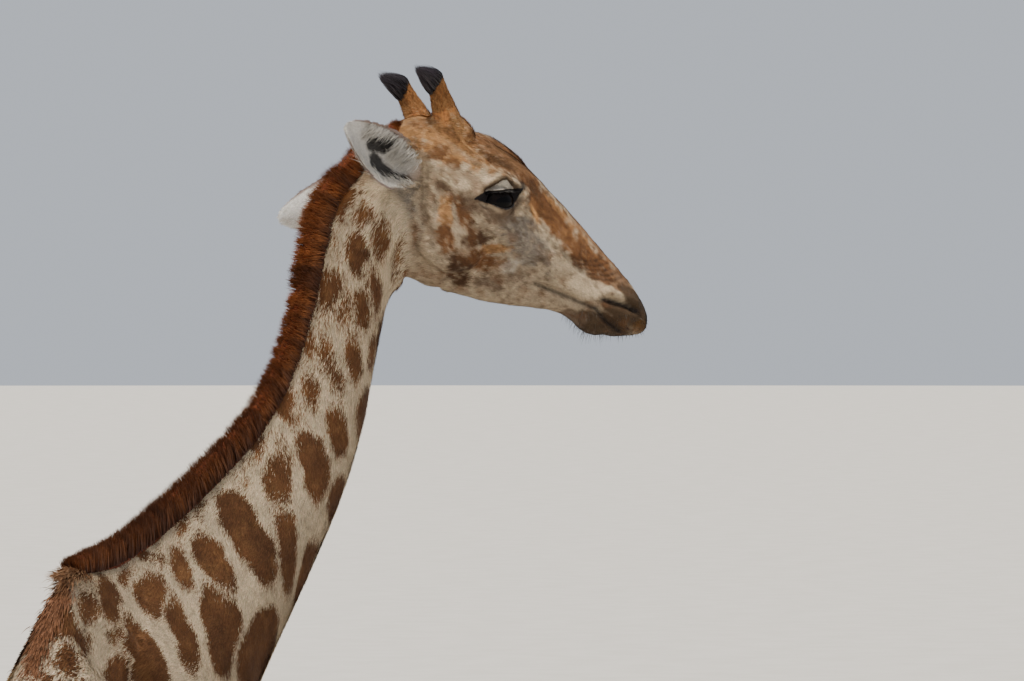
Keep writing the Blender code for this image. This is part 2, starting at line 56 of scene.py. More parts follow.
# The neck hangs below the nape line, which runs from the withers to the poll. Stations:
# distance along the nape, rise and turn of the nape, lean of the section, in degrees,
# depth, half width, and the share of it kept at the crest and at the throat.
NAPE = [
    (0.000, -8, -4, 30, 0.550, 0.150, 0.32, 0.75),
    (0.140, 5, -10, 31, 0.480, 0.146, 0.36, 0.72),
    (0.300, 17, -12, 33, 0.400, 0.130, 0.38, 0.70),
    (0.480, 25, -15, 37, 0.325, 0.109, 0.42, 0.66),
    (0.680, 34, -17, 45, 0.262, 0.089, 0.45, 0.64),
    (0.870, 55, -19, 55, 0.218, 0.074, 0.48, 0.62),
    (1.030, 66, -20, 62, 0.190, 0.064, 0.50, 0.60),
    (1.170, 62, -26, 66, 0.190, 0.060, 0.52, 0.60),
    (1.295, 43, -32, 64, 0.236, 0.060, 0.54, 0.58),
    (1.395, 22, -40, 60, 0.270, 0.062, 0.56, 0.56),
]

# The head's own frame: x to the nose, y to the left, z to the brow, centred between the eyes.
HEAD_TURN = (-35.0, -51.0, -5.0)
POLL_IN_HEAD = Vector((-0.195, 0.0, 0.030))
# Stations: x, top, level of the widest point, bottom, half width, and the share of it kept
# near the top and near the bottom.
HEAD = [
    (-0.207, 0.035, 0.000, -0.030, 0.030, 0.60, 0.60),
    (-0.185, 0.060, -0.005, -0.105, 0.060, 0.62, 0.60),
    (-0.145, 0.078, -0.010, -0.165, 0.075, 0.64, 0.50),
    (-0.100, 0.090, -0.015, -0.190, 0.083, 0.68, 0.46),
    (-0.050, 0.099, -0.015, -0.194, 0.087, 0.72, 0.44),
    (0.000, 0.104, -0.010, -0.180, 0.087, 0.72, 0.42),
    (0.045, 0.103, -0.010, -0.164, 0.081, 0.70, 0.42),
    (0.095, 0.097, -0.010, -0.145, 0.069, 0.66, 0.42),
    (0.145, 0.091, -0.005, -0.121, 0.057, 0.64, 0.44),
    (0.195, 0.082, 0.000, -0.093, 0.048, 0.62, 0.50),
    (0.245, 0.071, 0.000, -0.071, 0.045, 0.62, 0.58),
    (0.295, 0.060, 0.000, -0.068, 0.049, 0.62, 0.60),
    (0.345, 0.044, -0.002, -0.048, 0.048, 0.62, 0.62),
    (0.376, 0.028, -0.003, -0.026, 0.038, 0.60, 0.60),
    (0.391, 0.012, -0.003, -0.012, 0.018, 0.60, 0.60),
]

# Stations of the trunk: x, top, level of the widest point, bottom, half width, and the
# share of it kept near the top and near the bottom.
TRUNK = [
    (0.36, 2.00, 1.95, 1.86, 0.080, 0.60, 0.60),
    (0.31, 2.15, 1.95, 1.74, 0.132, 0.56, 0.62),
    (0.20, 2.29, 1.93, 1.63, 0.172, 0.44, 0.62),
    (0.08, 2.365, 1.90, 1.56, 0.196, 0.34, 0.62),
    (-0.03, 2.374, 1.87, 1.52, 0.214, 0.31, 0.62),
    (-0.13, 2.318, 1.85, 1.49, 0.232, 0.30, 0.64),
    (-0.25, 2.220, 1.82, 1.465, 0.256, 0.35, 0.66),
    (-0.39, 2.150, 1.80, 1.450, 0.282, 0.50, 0.66),
    (-0.55, 2.095, 1.79, 1.450, 0.292, 0.56, 0.66),
    (-0.72, 2.060, 1.79, 1.485, 0.282, 0.60, 0.66),
    (-0.88, 2.025, 1.80, 1.545, 0.256, 0.60, 0.66),
    (-1.02, 1.965, 1.80, 1.610, 0.216, 0.58, 0.66),
    (-1.13, 1.885, 1.79, 1.670, 0.158, 0.58, 0.66),
    (-1.19, 1.815, 1.77, 1.715, 0.080, 0.60, 0.60),
]

# Stations of a leg: height, x, distance from the middle, half length, half width.
FORELEG = [
    (2.18, -0.05, 0.090, 0.085, 0.045),
    (2.03, -0.01, 0.128, 0.125, 0.070),
    (1.86, 0.05, 0.155, 0.150, 0.082),
    (1.72, 0.065, 0.168, 0.148, 0.084),
    (1.58, 0.030, 0.170, 0.126, 0.078),
    (1.45, 0.006, 0.168, 0.102, 0.068),
    (1.30, 0.006, 0.165, 0.080, 0.058),
    (1.14, 0.012, 0.161, 0.061, 0.049),
    (1.00, 0.017, 0.158, 0.050, 0.043),
    (0.90, 0.021, 0.156, 0.050, 0.046),
    (0.825, 0.025, 0.155, 0.057, 0.053),
    (0.755, 0.022, 0.154, 0.050, 0.047),
    (0.68, 0.014, 0.153, 0.038, 0.037),
    (0.52, 0.012, 0.151, 0.033, 0.031),
    (0.34, 0.010, 0.150, 0.034, 0.032),
    (0.235, 0.005, 0.149, 0.046, 0.043),
    (0.165, 0.022, 0.149, 0.039, 0.041),
    (0.112, 0.038, 0.149, 0.051, 0.052),
    (0.070, 0.044, 0.149, 0.056, 0.056),
]
HINDLEG = [
    (1.94, -0.915, 0.085, 0.140, 0.070),
    (1.82, -0.945, 0.120, 0.185, 0.090),
    (1.68, -0.945, 0.142, 0.205, 0.098),
    (1.54, -0.905, 0.154, 0.180, 0.094),
    (1.41, -0.880, 0.160, 0.146, 0.082),
    (1.28, -0.890, 0.162, 0.110, 0.068),
    (1.14, -0.945, 0.160, 0.078, 0.053),
    (1.01, -1.010, 0.157, 0.060, 0.042),
    (0.91, -1.045, 0.155, 0.064, 0.045),
    (0.82, -1.047, 0.153, 0.060, 0.047),
    (0.73, -1.035, 0.152, 0.044, 0.039),
    (0.54, -1.023, 0.150, 0.035, 0.032),
    (0.34, -1.013, 0.149, 0.035, 0.033),
    (0.235, -1.017, 0.148, 0.045, 0.042),
    (0.165, -1.000, 0.148, 0.038, 0.040),
    (0.112, -0.984, 0.148, 0.049, 0.050),
    (0.070, -0.978, 0.148, 0.054, 0.054),
]
# How far forward each foot stands of the stations above, for an easy stance.
STRIDE = {
    ("fore", "left"): 0.07,
    ("fore", "right"): -0.05,
    ("hind", "left"): -0.05,
    ("hind", "right"): 0.08,
}
HIP = {"fore": 1.70, "hind": 1.60}

# In the head's frame: root and direction of each ear, and the way its hollow faces.
EARS = {
    "left": (
        Vector((-0.140, 0.066, -0.042)),
        Vector((-0.120, 0.078, -0.165)),
        Vector((0.25, 0.90, 0.35)),
    ),
    "right": (
        Vector((-0.140, -0.066, -0.042)),
        Vector((-0.186, -0.063, -0.042)),
        Vector((-0.30, -0.90, 0.10)),
    ),
}
EAR_LENGTH = 0.215
# Stations of an ear: share of its length, half width, depth of the cup, thickness.
EAR = [
    (-0.12, 0.017, 0.018, 0.016),
    (0.00, 0.024, 0.026, 0.020),
    (0.12, 0.038, 0.036, 0.014),
    (0.28, 0.053, 0.041, 0.009),
    (0.46, 0.056, 0.036, 0.007),
    (0.66, 0.048, 0.026, 0.007),
    (0.84, 0.032, 0.015, 0.006),
    (0.95, 0.016, 0.008, 0.005),
    (0.99, 0.006, 0.005, 0.003),
]
# The least thickness of an ear's rolled rim and of its leaf.
EAR_RIM, EAR_LEAF = 0.0075, 0.009
# Stations of a horn in the head's frame: x, distance from the middle, z, radius.
HORN = [
    (-0.140, 0.046, 0.055, 0.026),
    (-0.163, 0.052, 0.076, 0.022),
    (-0.186, 0.058, 0.091, 0.017),
    (-0.208, 0.063, 0.103, 0.016),
    (-0.218, 0.065, 0.108, 0.017),
]
# Stations of the skin's cone at the foot of a horn: x, distance from the middle, z, radius.
HORN_FOOT = [
    (-0.080, 0.030, 0.022, 0.044),
    (-0.112, 0.038, 0.034, 0.041),
    (-0.136, 0.045, 0.056, 0.034),
    (-0.158, 0.051, 0.074, 0.0255),
    (-0.178, 0.056, 0.087, 0.0190),
    (-0.190, 0.059, 0.094, 0.0160),
]
# The point that the hair on a horn is swept back to.
HORN_TUFT = (-0.256, 0.071, 0.104)
EYE = Vector((0.002, 0.064, -0.003))
EYE_RADIUS = 0.031
# Stations of the mane: distance from the withers, height of the hair above the nape.
MANE = [
    (0.00, 0.020),
    (0.05, 0.038),
    (0.14, 0.050),
    (0.30, 0.064),
    (0.50, 0.072),
    (0.70, 0.062),
    (0.88, 0.066),
    (1.00, 0.084),
    (1.09, 0.084),
    (1.20, 0.050),
    (1.36, 0.026),
]
# Stations of the tail: x, z, radius.
TAIL = [
    (-1.090, 1.785, 0.036),
    (-1.150, 1.795, 0.038),
    (-1.197, 1.750, 0.034),
    (-1.208, 1.670, 0.027),
    (-1.212, 1.550, 0.020),
    (-1.215, 1.360, 0.014),
]
TASSEL_END = 0.815
# Stations of one hoof: height, forward of the coronet, half length, half width.
HOOF = [
    (0.0697, 0.000, 0.050, 0.0262),
    (0.055, 0.004, 0.055, 0.0272),
    (0.025, 0.012, 0.062, 0.0285),
    (0.004, 0.018, 0.066, 0.0290),
    (0.000, 0.018, 0.064, 0.0280),
]
CLEFT = 0.0030

# The cut between the coarse flesh and the fine flesh of the head, along the nape.
SEAM = 1.08
COARSE, FINE = 0.0125, 0.0033


# -------- shape helpers
def curve(rows, first, f):
    """A Catmull-Rom curve through the rows, at a share f past each row after the first."""
    a, b, c, d = (rows[first + i] for i in range(4))
    cubic = 3 * b - a - 3 * c + d
    return 0.5 * (2 * b + (c - a) * f + (2 * a - 5 * b + 4 * c - d) * f**2 + cubic * f**3)


def spline(stations, count):
    """Rows of numbers spaced along a smooth curve through the stations."""
    rows = np.array(stations, float)
    place = np.linspace(0, len(rows) - 1, count)
    first = np.clip(place.astype(int), 0, len(rows) - 2)
    f = (place - first)[:, None]
    ends = np.vstack([2 * rows[0] - rows[1], rows, 2 * rows[-1] - rows[-2]])
    return curve(ends, first, f)


def section(top, bottom, wide, crown=0.63, keel=0.63, count=32):
    """A round loop in (across, up): its widest at height 0, crown and keel say how full it stays."""
    high, low = (crown * wide, 0.78 * top), (keel * wide, 0.78 * bottom)
    half = [(0.0, top), high, (wide, 0.0), low, (0.0, bottom)]
    loop = half + [(-x, z) for x, z in half[-2:0:-1]]
    wrapped = np.array(loop[-1:] + loop + loop[:2])
    place = np.linspace(0, len(loop), count, endpoint=False)
    first = place.astype(int)
    f = (place - first)[:, None]
    return curve(wrapped, first, f)


def placed(loop, center, across, up):
    """The loop's points in space."""
    return np.array(center) + np.outer(loop[:, 0], across) + np.outer(loop[:, 1], up)


def turned(rise, turn, roll=0.0):
    """Axes that point forward, left and up, after a turn, a rise and a roll in degrees."""
    axes = Matrix.Rotation(math.radians(turn), 3, "Z") @ Matrix.Rotation(-math.radians(rise), 3, "Y")
    return axes @ Matrix.Rotation(math.radians(roll), 3, "X")


def smooth(low, high, x):
    """0 below low, 1 above high and a soft step between them."""
    t = np.clip((x - low) / (high - low), 0.0, 1.0)
    return t * t * (3 - 2 * t)


def bell(x, width):
    """1 at x = 0, falling softly to 0 on both sides."""
    return np.exp(-((x / width) ** 2))


def read(stations, column, x, count=200):
    """One column of a table of stations, at places x in its first column."""
    rows = spline(stations, count)
    return np.interp(x, rows[:, 0], rows[:, column])


def unit(rows):
    return rows / np.maximum(np.linalg.norm(rows, axis=1, keepdims=True), 1e-9)


def noise(points, scale, seed=0):
    """Soft noise from -1 to 1, one value for each point, with lumps about scale wide."""
    place = points / scale + 17.3 * seed
    cell = np.floor(place).astype(np.int64)
    f = place - cell
    f = f * f * (3 - 2 * f)
    total = np.zeros(len(points))
    for corner in np.ndindex(2, 2, 2):
        x, y, z = (cell + corner).T
        mixed = x * 374761393 + y * 668265263 + z * 2147483629 + seed * 1274126177
        mixed = (mixed ^ (mixed >> 13)) * 1274126177
        mixed = (mixed ^ (mixed >> 16)) & 0xFFFF
        total += np.prod(np.where(corner, f, 1 - f), axis=1) * mixed
    return total / 32767.5 - 1


def tube(rings):
    """Points and faces of a capped tube through closed loops."""
    rings = np.array(rings)
    count, around = rings.shape[:2]
    i = np.arange(around)
    j = (i + 1) % around
    base = np.arange(count - 1)[:, None] * around
    quads = np.stack([base + i, base + j, base + j + around, base + i + around], -1).reshape(-1, 4)
    caps = [list(range(around))[::-1], list(range((count - 1) * around, count * around))]
    return rings.reshape(-1, 3), quads.tolist() + caps


def ellipsoid(center, radii, axes=None):
    """Points and faces of an ellipsoid whose axes are the columns of the 3 x 3 matrix."""
    axes = np.array(axes if axes is not None else Matrix.Identity(3))
    around = np.linspace(0, 2 * np.pi, 32, endpoint=False)
    rings = []
    for lift in np.linspace(-0.49 * np.pi, 0.49 * np.pi, 20):
        flat = np.stack([np.cos(around), np.sin(around)], 1) * np.cos(lift)
        ring = np.column_stack([flat, np.full(len(around), np.sin(lift))]) * np.array(radii)
        rings.append(np.array(center) + ring @ axes.T)
    return tube(rings)


def mesh_of(name, solids):
    """One mesh of several closed solids, facing outwards."""
    verts, faces, start = [], [], 0
    for points, polygons in solids:
        verts.append(points)
        faces += [[start + i for i in polygon] for polygon in polygons]
        start += len(points)
    mesh = bpy.data.meshes.new(name)
    mesh.from_pydata(np.vstack(verts).tolist(), [], faces)
    bm = bmesh.new()
    bm.from_mesh(mesh)
    bmesh.ops.recalc_face_normals(bm, faces=bm.faces)
    bm.to_mesh(mesh)
    bm.free()
    return mesh


def link(name, mesh):
    obj = bpy.data.objects.new(name, mesh)
    bpy.context.scene.collection.objects.link(obj)
    return obj


def field(mesh, name, values):
    """Keeps one number or colour for each vertex of the mesh."""
    if values.ndim == 1:
        mesh.attributes.new(name, "FLOAT", "POINT").data.foreach_set("value", values.astype(np.float32))
        return
    rgba = np.column_stack([values, np.ones(len(values))]).astype(np.float32)
    mesh.attributes.new(name, "FLOAT_COLOR", "POINT").data.foreach_set("color", rgba.ravel())


def move(mesh, points):
    mesh.vertices.foreach_set("co", points.astype(np.float32).ravel())
    mesh.update()


def solid(name, solids):
    """A smooth object of several closed solids."""
    mesh = mesh_of(name, solids)
    mesh.shade_smooth()
    return link(name, mesh)


def applied(obj):
    """The object's mesh with its modifiers applied, and the object gone."""
    graph = bpy.context.evaluated_depsgraph_get()
    mesh = bpy.data.meshes.new_from_object(obj.evaluated_get(graph))
    bpy.data.objects.remove(obj)
    return mesh


def points_of(mesh, what="co"):
    rows = np.empty(len(mesh.vertices) * 3, np.float32)
    mesh.vertices.foreach_get(what, rows)
    return rows.reshape(-1, 3).astype(float)


# -------- the flesh
def nape_path(count=70):
    """Points of the nape, each with the axes of its section and the section's sizes."""
    rows = spline(NAPE, count)
    point = WITHERS.copy()
    path = []
    for i, row in enumerate(rows):
        if i:
            point = point + turned(row[1], row[2]).col[0] * (row[0] - rows[i - 1][0])
        path.append((point.copy(), turned(row[3], row[2]), row))
    return path


def head_place():
    """The matrix of the head's frame, with the poll on the end of the nape."""
    poll = nape_path()[-1][0]
    rise, turn, roll = HEAD_TURN
    return Matrix.Translation(poll) @ turned(rise, turn, roll).to_4x4() @ Matrix.Translation(-POLL_IN_HEAD)


HEAD_PLACE = head_place()
HEAD_AXES = np.array(HEAD_PLACE.to_3x3())
HEAD_CENTRE = np.array(HEAD_PLACE.translation)


def in_head(points):
    """Points of space in the head's frame."""
    return (points - HEAD_CENTRE) @ HEAD_AXES


def out_of_head(points):
    return points @ HEAD_AXES.T + HEAD_CENTRE


def neck(first, last):
    """The neck's tube between two distances along the nape."""
    rings = []
    for point, axes, row in nape_path(210):
        distance, depth, wide, crest, throat = row[0], *row[4:]
        if first <= distance <= last:
            loop = section(0.5 * depth, -0.5 * depth, wide, crest, throat, 64)
            rings.append(placed(loop, point - axes.col[2] * 0.5 * depth, axes.col[1], axes.col[2]))
    return tube(rings)


def trunk():
    rings = []
    for x, top, level, bottom, wide, crest, keel in spline(TRUNK, 100):
        loop = section(top - level, bottom - level, wide, crest, keel, 64)
        rings.append(placed(loop, (x, 0, level), (0, 1, 0), (0, 0, 1)))
    return tube(rings)


def leg_rows(kind, side, count=120):
    """Rows of height, x, y, half length and half width of one leg, feet in stance."""
    rows = []
    for z, x, y, long, wide in spline(FORELEG if kind == "fore" else HINDLEG, count):
        reach = max(0.0, 1 - z / HIP[kind])
        rows.append((z, x + STRIDE[kind, side] * reach, y * SIDES[side], long, wide))
    return rows


def leg(kind, side):
    rings = []
    for z, x, y, long, wide in leg_rows(kind, side):
        rings.append(placed(section(long, -long, wide, count=40), (x, y, z), (0, 1, 0), (1, 0, 0)))
    return tube(rings)


def head_tube():
    rings = []
    for x, top, level, bottom, wide, crown, jaw in spline(HEAD, 150):
        loop = section(top - level, bottom - level, wide, crown, jaw, 96)
        middle = out_of_head(np.array([x, 0, level]))
        rings.append(placed(loop, middle, HEAD_AXES[:, 1], HEAD_AXES[:, 2]))
    return tube(rings)


def skull_lumps():
    """Brow, cheek, bridge, horn base, nostril, chin and throat, each with its radii and pitch."""
    axes = HEAD_PLACE.to_3x3()
    lumps = [
        (0.010, 0.062, 0.030, 0.060, 0.030, 0.030, -8),
        (-0.035, 0.050, -0.095, 0.075, 0.026, 0.070, 0),
        (0.000, 0.000, 0.084, 0.085, 0.036, 0.030, -4),
        (-0.130, 0.040, 0.062, 0.050, 0.030, 0.030, 10),
        (0.330, 0.024, 0.012, 0.042, 0.026, 0.026, -25),
        (0.300, 0.000, -0.052, 0.036, 0.032, 0.018, 12),
        (-0.100, 0.000, -0.215, 0.056, 0.028, 0.050, 38),
    ]
    solids = []
    for x, y, z, long, wide, high, pitch in lumps:
        for side in SIDES.values() if y else (1.0,):
            middle = HEAD_PLACE @ Vector((x, side * y, z))
            solids.append(ellipsoid(middle, (long, wide, high), axes @ turned(pitch, 0)))
    return solids


def crest():
    """Flesh that rises along the nape under the mane."""
    rings = []
    far = np.linspace(0.0, 1.24, 64)
    line, _, left, up = nape_rows(far)
    for k, height in enumerate(crest_height(far)):
        loop = section(height, -0.06, 0.026, 0.6, 0.8, 20)
        rings.append(placed(loop, line[k], left[k], up[k]))
    return tube(rings)


def horn_foot(side):
    rows = spline(HORN_FOOT, 24)
    middle = rows[:, :3] * (1, SIDES[side], 1)
    along = unit(np.gradient(middle, axis=0))
    rings = []
    for centre, run, radius in zip(middle, along, rows[:, 3]):
        up = np.cross(run, (0, 1, 0))
        loop = section(radius, -radius, radius, count=24)
        rings.append(placed(loop, out_of_head(centre), HEAD_AXES @ np.cross(up, run), HEAD_AXES @ up))
    return tube(rings)


def muscles():
    """Shoulder blades, upper arms, haunches and the seat of the tail."""
    solids = []
    for side in SIDES.values():
        solids.append(ellipsoid((0.03, side * 0.108, 1.95), (0.12, 0.075, 0.23), turned(12, 0, side * 10)))
        solids.append(ellipsoid((0.13, side * 0.125, 1.80), (0.13, 0.080, 0.14), turned(-20, 0)))
        solids.append(ellipsoid((-0.92, side * 0.110, 1.83), (0.20, 0.105, 0.15), turned(18, 0)))
        solids.append(ellipsoid((-1.05, side * 0.085, 1.73), (0.10, 0.075, 0.16)))
    solids.append(ellipsoid((0.335, 0.0, 1.99), (0.085, 0.095, 0.13), turned(-25, 0)))
    return solids


def ear_frame(side):
    """The root of an ear, and the directions along, across and out of its hollow."""
    root, aim, hollow = (np.array(v) for v in EARS[side])
    along = HEAD_AXES @ aim / np.linalg.norm(aim)
    hollow = HEAD_AXES @ hollow
    out = hollow - hollow @ along * along
    out /= np.linalg.norm(out)
    return out_of_head(root), along, np.cross(along, out), out


def ear_bow(share):
    """How far the middle line of an ear bends back from its chord."""
    return 0.010 * np.sin(np.pi * np.clip(share, 0, 1))


def ear(side):
    """A cupped leaf with a rolled rim."""
    root, along, across, out = ear_frame(side)
    turn = np.linspace(-1, 1, 23)
    cup = 1 - turn**2
    rings = []
    for share, wide, deep, thick in spline(EAR, 60):
        depth = -deep * cup
        body = np.maximum(thick * (0.3 + 0.7 * cup), EAR_RIM + (EAR_LEAF - EAR_RIM) * cup)
        back = np.stack([turn * wide, depth - 0.25 * body], 1)
        front = np.stack([turn * wide, depth + 0.75 * body], 1)
        loop = np.vstack([back, front[::-1]])
        bow = across * SIDES[side] * ear_bow(share)
        rings.append(placed(loop, root + along * share * EAR_LENGTH + bow, across, out))
    return tube(rings)


def tail_rings(stations, count=60, around=24, grow=0.0):
    rows = spline(stations, count)
    slopes = np.gradient(rows[:, :2], axis=0)
    rings = []
    for (x, z, radius), (run, rise) in zip(rows, slopes):
        along = Vector((run, 0, rise)).normalized()
        loop = section(radius + grow, -radius - grow, radius + grow, count=around)
        rings.append(placed(loop, (x, 0, z), (0, 1, 0), along.cross(Vector((0, 1, 0)))))
    return rings


def remeshed(name, solids, voxel, passes):
    """The solids joined by a voxel remesh and blended by smooth passes."""
    obj = link(name, mesh_of(name, solids))
    join = obj.modifiers.new("join", "REMESH")
    join.mode = "VOXEL"
    join.voxel_size = voxel
    obj = link(name, applied(obj))
    bulk = obj.vertex_groups.new(name="bulk")
    for vert in obj.data.vertices:
        bulk.add([vert.index], min(1.0, max(0.0, 4.0 * (vert.co.z - 1.25))), "REPLACE")
    for group, iterations in passes:
        blend = obj.modifiers.new("blend", "SMOOTH")
        blend.factor = 0.5
        blend.iterations = iterations
        blend.vertex_group = group
    return applied(obj)


def nape_rows(distances):
    """Points, along, across and up directions of the nape at many distances."""
    path = nape_path(561)
    far = np.linspace(0, NAPE[-1][0], len(path))
    points = np.array([p for p, _, _ in path])
    left = np.array([axes.col[1] for _, axes, _ in path])
    along = np.gradient(points, axis=0)

    def there(rows):
        return np.stack([np.interp(distances, far, rows[:, k]) for k in range(3)], 1)

    along = unit(there(along))
    up = unit(np.cross(along, there(left)))
    return there(points), along, np.cross(up, along), up


def crest_height(far):
    """How far the flesh rises under the mane."""
    return 0.40 * read(MANE, 1, far) * smooth(1.26, 1.08, far)


def parts(faces, kind):
    """The edges or verts of these faces, each once and in an order that is the same in each run."""
    return list(dict.fromkeys(part for face in faces for part in getattr(face, kind)))


def boundary(faces, centre, across, up):
    """The open edge of these faces as vertices in order round the centre, with their angles."""
    rim = dict.fromkeys(v for edge in parts(faces, "edges") if edge.is_boundary for v in edge.verts)
    turns = {v: math.atan2((v.co - centre).dot(up), (v.co - centre).dot(across)) for v in rim}
    return sorted(rim, key=turns.get), turns


def jaw_angle(bm):
    """The points between the jaw and the neck, clear of the ears."""
    places = in_head(np.array([v.co for v in bm.verts]))
    low = (places[:, 2] < -0.075) & (places[:, 2] > -0.26) & (np.abs(places[:, 0] + 0.14) < 0.085)
    return [v for v, chosen in zip(bm.verts, low) if chosen]


def match_rims(bm, rims, centre, normal):
    """Draws the fine flesh near the seam in or out to the size of the coarse flesh there."""
    sizes = []
    bins = np.linspace(-math.pi, math.pi, 49)
    for rim, turns in rims:
        angles = np.array([turns[v] for v in rim])
        sizes.append(np.interp(bins, angles, [(v.co - centre).length for v in rim], period=2 * math.pi))
    scale = sizes[0] / sizes[1]
    _, _, across, up = seam_plane()
    for v in bm.verts:
        q = v.co - centre
        ahead = q.dot(normal)
        if 0 < ahead < 0.12 and q.length < 0.20:
            angle = math.atan2(q.dot(up), q.dot(across))
            share = (1 - ahead / 0.12) ** 2
            flat = q - normal * ahead
            v.co += flat * ((np.interp(angle, bins, scale) - 1) * share)


def zipped(bm, low, high):
    """A strip of triangles between two open edges given as (vertices, angles)."""
    (a, angle_a), (b, angle_b) = low, high
    i = j = 0
    while i < len(a) or j < len(b):
        next_a = angle_a[a[i + 1]] if i + 1 < len(a) else math.pi + i - len(a)
        next_b = angle_b[b[j + 1]] if j + 1 < len(b) else math.pi + j - len(b)
        if j == len(b) or (i < len(a) and next_a <= next_b):
            bm.faces.new((a[i % len(a)], a[(i + 1) % len(a)], b[j % len(b)]))
            i += 1
        else:
            bm.faces.new((a[i % len(a)], b[(j + 1) % len(b)], b[j % len(b)]))
            j += 1


def seam_plane():
    """The middle of the seam's section, with its normal and the directions in it."""
    path = nape_path(210)
    point, axes, row = min(path, key=lambda r: abs(r[2][0] - SEAM))
    return point - axes.col[2] * 0.5 * row[4], axes.col[0], axes.col[1], axes.col[2]


def soften(bm, verts, times):
    for _ in range(times):
        bmesh.ops.smooth_vert(bm, verts=verts, factor=0.5, use_axis_x=True, use_axis_y=True, use_axis_z=True)


def whole_flesh():
    """Coarse flesh of the body and fine flesh of the head, joined into one skin."""
    body = [trunk(), neck(0.0, SEAM + 0.06), crest(), tube(tail_rings(TAIL, grow=0.003)), *muscles()]
    body += [leg(kind, side) for kind in ("fore", "hind") for side in SIDES]
    face = [head_tube(), neck(SEAM - 0.06, 2.0), crest(), *skull_lumps()]
    face += [make(side) for make in (ear, horn_foot) for side in SIDES]
    body = remeshed("body", body, COARSE, (("", 6), ("bulk", 40)))
    face = remeshed("face", face, FINE, (("", 9),))
    centre, normal, across, up = seam_plane()
    bm = bmesh.new()
    rims = []
    cuts = ((body, True, -0.004), (face, False, 0.004))
    for mesh, outer, shift in cuts:
        before = set(bm.faces)
        bm.from_mesh(mesh)
        new = [f for f in bm.faces if f not in before]
        geom = new + parts(new, "edges") + parts(new, "verts")
        place = centre + normal * shift
        bmesh.ops.bisect_plane(
            bm, geom=geom, plane_co=place, plane_no=normal, clear_outer=outer, clear_inner=not outer
        )
        faces = [f for f in bm.faces if f not in before]
        rims.append(boundary(faces, place, across, up))
    match_rims(bm, rims, centre, normal)
    zipped(bm, *rims)
    near = [v for v in bm.verts if abs((v.co - centre).dot(normal)) < 0.03]
    soften(bm, [v for v in near if (v.co - centre).length < 0.2], 8)
    soften(bm, jaw_angle(bm), 30)
    bmesh.ops.recalc_face_normals(bm, faces=bm.faces)
    return bm


def refine(bm, centre, reach, cuts):
    """Splits the faces near a point into smaller ones."""
    faces = [f for f in bm.faces if (f.calc_center_median() - centre).length < reach]
    bmesh.ops.subdivide_edges(bm, edges=parts(faces, "edges"), cuts=cuts, use_grid_fill=True)


# -------- folds of the skin
# How far the line of the lids rises from the head's own axis.
EYE_TILT = math.radians(43)
# Outlines in the eye's own plane, as distance along it, lower edge and upper edge: the opening, the dark
# skin round it, and the upper lid between that skin and the crease, painted pale as a highlight.
EYE_OPENING = [
    (-0.027, 0.0045, 0.0055),
    (-0.022, -0.0015, 0.0155),
    (-0.016, -0.0045, 0.0178),
    (-0.006, -0.0098, 0.0180),
    (0.004, -0.0122, 0.0176),
    (0.014, -0.0112, 0.0172),
    (0.022, -0.0075, 0.0155),
    (0.0265, -0.0030, 0.0060),
]
EYE_DARK = [
    (-0.050, 0.0108, 0.0122),
    (-0.040, 0.0085, 0.0175),
    (-0.030, 0.0030, 0.0210),
    (-0.020, -0.0030, 0.0212),
    (-0.010, -0.0100, 0.0208),
    (0.000, -0.0142, 0.0204),
    (0.010, -0.0140, 0.0200),
    (0.020, -0.0108, 0.0194),
    (0.028, -0.0065, 0.0186),
    (0.035, -0.0005, 0.0180),
    (0.041, 0.0090, 0.0178),
    (0.045, 0.0150, 0.0170),
]
EYE_LID = [
    (-0.026, 0.0210, 0.0220),
    (-0.012, 0.0208, 0.0262),
    (0.002, 0.0204, 0.0310),
    (0.014, 0.0198, 0.0362),
    (0.021, 0.0194, 0.0310),
    (0.028, 0.0186, 0.0200),
]
# Polylines (x, z) with width and depth of each groove; a ridge has a depth below 0.
FOLDS = [
    ([(0.160, -0.066), (0.195, -0.056), (0.235, -0.045), (0.280, -0.036)], 0.0045, 0.0040),
    ([(0.280, -0.036), (0.310, -0.041), (0.345, -0.038), (0.385, -0.028)], 0.0040, 0.0055),
    ([(0.280, -0.016), (0.298, -0.008), (0.320, 0.000), (0.346, 0.004)], 0.0048, 0.0110),
    ([(0.272, -0.004), (0.296, 0.008), (0.322, 0.017), (0.350, 0.017)], 0.0075, -0.0050),
    ([(0.285, -0.028), (0.310, -0.018), (0.345, -0.014)], 0.0080, -0.0030),
    ([(0.150, -0.052), (0.200, -0.040), (0.250, -0.027)], 0.0100, -0.0025),
    ([(-0.150, -0.010), (-0.126, -0.044), (-0.100, -0.080), (-0.046, -0.134)], 0.0080, -0.0045),
    ([(-0.170, -0.020), (-0.146, -0.054), (-0.118, -0.092), (-0.064, -0.146)], 0.0130, 0.0085),
    ([(-0.138, 0.057), (-0.085, 0.050), (-0.039, 0.046), (0.028, 0.050)], 0.0060, 0.0030),
    ([(-0.100, 0.036), (-0.050, 0.032), (0.000, 0.034)], 0.0120, -0.0030),
    ([(0.020, -0.042), (0.060, -0.036), (0.110, -0.030), (0.160, -0.034)], 0.0130, -0.0038),
    ([(0.030, -0.062), (0.080, -0.060), (0.140, -0.058)], 0.0140, 0.0030),
    ([(0.045, 0.046), (0.080, 0.030), (0.120, 0.004), (0.150, -0.010)], 0.0110, 0.0028),
    ([(-0.100, -0.020), (-0.060, -0.036), (-0.020, -0.062)], 0.0150, 0.0022),
]
WRINKLES = 7


